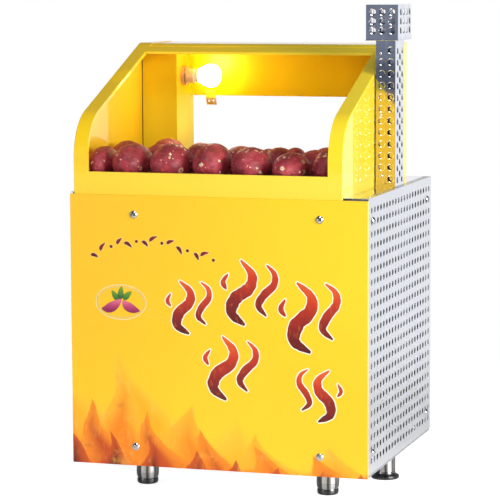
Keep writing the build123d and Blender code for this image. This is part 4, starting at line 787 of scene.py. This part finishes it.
# A garland of small leaves and seeds that dips and climbs over the upper left.
leafy = Ink(0.26)
for k in range(15):
    t = k / 14.0
    gx = -250.0 + 244.0 * t
    gz = 470.0 + 34.0 * math.sin(0.5 + 3.0 * t) + 22.0 * t
    slope = math.degrees(math.atan2(34.0 * 3.0 * math.cos(0.5 + 3.0 * t) + 22.0, 262.0))
    if k % 3 == 2:
        r = 3.1
        ang = np.linspace(0, math.pi, 9)
        line = np.stack([gx - r * np.cos(ang), np.full(9, gz)], axis=1)
        wd = r * np.sin(ang) + 0.05
        leafy.stroke(line, wd, 0.0, lambda q: 0.6)
        halo.stroke(line, wd, 1.6)
    else:
        up = 1 if k % 2 else -1
        pts = place([(-0.5, 0.0), (-0.1, 0.12), (0.5, 0.0)], gx, gz + 5.5 * up, 17.0 + 3.0 * math.sin(k * 2.1), slope + 38.0 * up)
        line = catmull(pts, 8)
        wd = brush(len(line), 3.5, 0.42, 0.0, 0.0, 0.8)
        leafy.stroke(line, wd, 0.0, lambda q, gz=gz: min(1.0, max(0.0, 0.5 - (q[1] - gz) / 26.0)))
        halo.stroke(line, wd, 1.6)
leafy.make("print_garland", "ink_maroon")

# An oval frame with a sweet potato sprig inside.
ring, leaf, root = Ink(0.20), Ink(0.30), Ink(0.34)
rcx, rcz, ra, rb = -196.0, 392.0, 52.0, 34.0
ang = np.linspace(0, 2 * math.pi, 97)
for k, (grow, wdt) in enumerate(((0.0, 0.95), (-4.0, 0.45))):
    line = np.stack([rcx + (ra + grow) * np.cos(ang), rcz + (rb + grow) * np.sin(ang)], axis=1)
    ring.stroke(line, np.full(len(line), wdt), 0.0, lambda q: 0.2)
ring.make("print_oval", "ink_cream")
for cx, cz, size, turn, fat in ((-214.0, 385.0, 46.0, 24.0, 0.21), (-176.0, 383.0, 40.0, -32.0, 0.23)):
    line = catmull(place([(-0.5, 0.05), (-0.2, -0.05), (0.15, -0.02), (0.5, 0.10)], cx, cz, size, turn), 9)
    root.stroke(line, brush(len(line), fat * size, 0.46, 0.05, 0.02, 0.8), 0.0,
                lambda q, cz=cz: min(1.0, max(0.0, 0.5 - (q[1] - cz) / 22.0)))
root.make("print_sprig_root", "ink_root")
for cx, cz, size, turn in ((-207.0, 405.0, 24.0, 128.0), (-195.0, 410.0, 26.0, 86.0), (-182.0, 405.0, 24.0, 46.0)):
    line = catmull(place([(-0.5, 0.0), (0.0, 0.05), (0.5, 0.0)], cx, cz, size, turn), 10)
    leaf.stroke(line, brush(len(line), 0.24 * size, 0.34, 0.0, 0.0, 0.7), 0.0,
                lambda q, cz=cz: min(1.0, max(0.0, 0.5 - (q[1] - cz) / 20.0)))
leaf.make("print_sprig_leaves", "ink_leaf")
# two small rings of steam that lead to the oval
for cx, cz, r in ((-132.0, 372.0, 8.0), (-112.0, 360.0, 4.6)):
    line = np.stack([cx + 1.25 * r * np.cos(ang), cz + r * np.sin(ang)], axis=1)
    halo.stroke(line, np.full(len(line), 0.1), 0.7)
halo.make("print_halo", "ink_glow")
ember.make("print_wisps", "ink_ember")

# ------------------------------------------------------ seam beside the column
def column_seam():
    """Dark bead in the corner where the lamp column meets the left wall."""
    verts, faces = [], []
    n = 40
    for i in range(n + 1):
        z = 622.0 + (872.0 - 622.0) * i / n
        wob = 0.12 * noise.noise(Vector((0.3, 0.7, z * 0.05)))
        for dx, dy in ((0.0, 0.0), (0.25, -0.55), (0.9, -0.85), (1.6, -0.55), (1.9 + wob, 0.0)):
            verts.append(P(SEAM_X + dx, SEAM_Y + dy, z))
    for i in range(n):
        for j in range(4):
            a = i * 5 + j
            faces.append((a, a + 1, a + 6, a + 5))
    return mesh_object("column_seam", verts, faces, MAT["dark_bead"], "cabinet")


SEAM_X, SEAM_Y = -292.45, 396.95
column_seam()


def backing_strip():
    """Polished strip close behind the left column of holes in the chimney guard's front."""
    x0, x1, y0, y1, z0, z1 = 254.7, 274.4, 240.3, 240.9, 606.6, 892.0
    verts = [P(x, y, z) for z in (z0, z1) for x, y in ((x0, y0), (x1, y0), (x1, y1), (x0, y1))]
    faces = [(0, 3, 2, 1), (4, 5, 6, 7), (0, 1, 5, 4), (1, 2, 6, 5), (2, 3, 7, 6), (3, 0, 4, 7)]
    return mesh_object("chimney_guard_backing", verts, faces, MAT["steel_chimney"], "cabinet", smooth=False)


backing_strip()


def box_piece(name, x0, x1, y0, y1, z0, z1, mat):
    verts = [P(x, y, z) for z in (z0, z1) for x, y in ((x0, y0), (x1, y0), (x1, y1), (x0, y1))]
    faces = [(0, 3, 2, 1), (4, 5, 6, 7), (0, 1, 5, 4), (1, 2, 6, 5), (2, 3, 7, 6), (3, 0, 4, 7)]
    return mesh_object(name, verts, faces, MAT[mat], "cabinet", smooth=False)


# closes the slit under the left guard's top return, beside the foot of the hood; its front takes the left guard's white
# diffuse front, a painted brightness over what would be a shaded slit
box_piece("corner_filler", -298.9, -293.9, 2.6, 3.4, 601.2, 604.9, "steel_guard_left")


def leg_sleeve(side, cx, cy):
    """Polished sleeve that carries a front foot's rounded outline on up over the end of the leg tube."""
    line = [(22.74, 22.4), (22.80, 23.6), (22.80, 25.5), (22.73, 28.0), (22.58, 31.0), (22.40, 34.5), (22.26, 39.0), (22.16, 46.0), (22.12, 56.0), (21.70, 56.8),
            (21.06, 56.8), (21.06, 31.4), (22.00, 30.9), (22.36, 28.0), (22.66, 25.0), (22.72, 23.2)]
    nu, n = 72, len(line)
    verts = [P(cx + r * math.cos(2 * math.pi * i / nu), cy + r * math.sin(2 * math.pi * i / nu), z) for r, z in line for i in range(nu)]
    faces = [(j * nu + i, j * nu + (i + 1) % nu, (j + 1) % n * nu + (i + 1) % nu, (j + 1) % n * nu + i) for j in range(n) for i in range(nu)]
    return mesh_object("leg_sleeve_front_" + side, verts, faces, MAT["chrome_feet"], "cabinet")


leg_sleeve("left", -204.3, 167.0)
leg_sleeve("right", 175.0, 167.0)

# ---------------------------------------------------------------------- stage
def floor():
    n, rad = 96, 1.9
    verts, faces = [(0, 0, -0.0002)], []
    for j in range(1, 9):
        for i in range(n):
            a = 2 * math.pi * i / n
            verts.append((rad * j / 8 * math.cos(a), rad * j / 8 * math.sin(a), -0.0002))
    for i in range(n):
        faces.append((0, 1 + i, 1 + (i + 1) % n))
        for j in range(1, 8):
            a, b2 = 1 + (j - 1) * n + i, 1 + (j - 1) * n + (i + 1) % n
            faces.append((a, a + n, b2 + n, b2))
    me = bpy.data.meshes.new("floor")
    me.from_pydata(verts, [], faces)
    o = bpy.data.objects.new("floor", me)
    bpy.context.scene.collection.objects.link(o)
    m = bpy.data.materials.new("floor_paper")
    m.use_nodes = True
    nt = m.node_tree
    b = nt.nodes["Principled BSDF"]
    out = nt.nodes["Material Output"]
    b.inputs["Base Color"].default_value = (0.93, 0.93, 0.925, 1)
    b.inputs["Roughness"].default_value = 0.6
    b.inputs["Specular IOR Level"].default_value = 0.2
    b.inputs["Emission Color"].default_value = (1, 1, 1, 1)
    seen = nd(nt, "ShaderNodeLightPath").outputs["Is Camera Ray"]
    nt.links.new(math_n(nt, "ADD", math_n(nt, "MULTIPLY", seen, 0.55), 0.22), b.inputs["Emission Strength"])
    tr = nd(nt, "ShaderNodeBsdfTransparent")
    tc = nd(nt, "ShaderNodeTexCoord")
    ln = nd(nt, "ShaderNodeVectorMath", {0: tc.outputs["Object"]}, operation="LENGTH")
    fac = remap(nt, ln.outputs["Value"], 0.75, 1.85)
    mx = nd(nt, "ShaderNodeMixShader", {"Fac": fac})
    nt.links.new(b.outputs[0], mx.inputs[1])
    nt.links.new(tr.outputs[0], mx.inputs[2])
    nt.links.new(mx.outputs[0], out.inputs["Surface"])
    me.materials.append(m)
    return o


floor()


def area(name, loc, target, size, energy, color=(1, 1, 1), size_y=None):
    ld = bpy.data.lights.new(name, "AREA")
    ld.shape = "RECTANGLE"
    ld.size = size
    ld.size_y = size_y or size
    ld.energy = energy
    ld.color = color
    o = bpy.data.objects.new(name, ld)
    bpy.context.scene.collection.objects.link(o)
    o.location = loc
    o.rotation_euler = (Vector(target) - Vector(loc)).to_track_quat("-Z", "Y").to_euler()
    return o


area("key", (3.66, -1.72, 1.15), (0, -0.2, 0.5), 1.5, 190.0, (1.0, 0.985, 0.955), 1.9)
area("fill", (-2.30, -2.88, 1.00), (0, -0.2, 0.5), 1.5, 40.0, (1.0, 0.985, 0.96), 1.9)
area("over", (0.50, -1.60, 3.40), (0, -0.1, 0.8), 1.4, 36.0, (1.0, 0.99, 0.97), 1.4)

# the lamp's throw on the header
ld = bpy.data.lights.new("lamp_throw", "SPOT")
ld.energy = 0.28
ld.color = (1.0, 0.94, 0.78)
ld.spot_size = math.radians(110.0)
ld.spot_blend = 1.0
ld.shadow_soft_size = 0.03
throw = bpy.data.objects.new("lamp_throw", ld)
bpy.context.scene.collection.objects.link(throw)
throw.location = P(-70.0, 330.0, 770.0)
throw.rotation_euler = (P(70.0, 492.0, 838.0) - P(-70.0, 330.0, 770.0)).to_track_quat("-Z", "Y").to_euler()
throw.visible_glossy = False

world = bpy.data.worlds.new("studio")
bpy.context.scene.world = world
world.use_nodes = True
nt = world.node_tree
bg = nt.nodes["Background"]
outw = nt.nodes["World Output"]
tc = nd(nt, "ShaderNodeTexCoord")
sp = nd(nt, "ShaderNodeSeparateXYZ", {"Vector": tc.outputs["Generated"]})
back = remap(nt, sp.outputs["Y"], -0.05, 0.5)
col = mixc(nt, back, (0.20, 0.22, 0.285), (0.97, 0.98, 1.0))
dim = math_n(nt, "MULTIPLY", remap(nt, sp.outputs["X"], 0.02, 0.20), remap(nt, sp.outputs["Y"], -0.55, -0.85))
col = mixc(nt, math_n(nt, "MULTIPLY", dim, 0.85), col, (0.05, 0.05, 0.06))
top = remap(nt, sp.outputs["Z"], 0.10, 0.42)
col = mixc(nt, math_n(nt, "MULTIPLY", top, 0.95), col, (0.05, 0.05, 0.055))
nt.links.new(col, bg.inputs["Color"])
bg.inputs["Strength"].default_value = 1.0
white = nd(nt, "ShaderNodeBackground", {"Color": (1, 1, 1, 1), "Strength": 1.0})
lp = nd(nt, "ShaderNodeLightPath")
mx = nd(nt, "ShaderNodeMixShader", {"Fac": lp.outputs["Is Camera Ray"]})
nt.links.new(bg.outputs[0], mx.inputs[1])
nt.links.new(white.outputs[0], mx.inputs[2])
nt.links.new(mx.outputs[0], outw.inputs["Surface"])

# --------------------------------------------------------------------- camera
yaw, pitch, roll = 0.3047, 0.1171, -0.0043
d = Vector((-math.sin(yaw) * math.cos(pitch), math.cos(yaw) * math.cos(pitch), -math.sin(pitch)))
r = d.cross(Vector((0, 0, 1))).normalized()
u = r.cross(d)
r2 = math.cos(roll) * r + math.sin(roll) * u
u2 = -math.sin(roll) * r + math.cos(roll) * u
cam_data = bpy.data.cameras.new("camera")
cam = bpy.data.objects.new("camera", cam_data)
bpy.context.scene.collection.objects.link(cam)
m3 = Matrix((r2, u2, -d)).transposed()
cam.matrix_world = Matrix.Translation((1.45373, -4.69108, 1.04575)) @ m3.to_4x4()
cam_data.sensor_width = 36.0
cam_data.lens = 175.53
cam_data.clip_end = 50.0
bpy.context.scene.camera = cam
bpy.context.scene.view_settings.view_transform = "Standard"
bpy.context.scene.view_settings.look = "None"
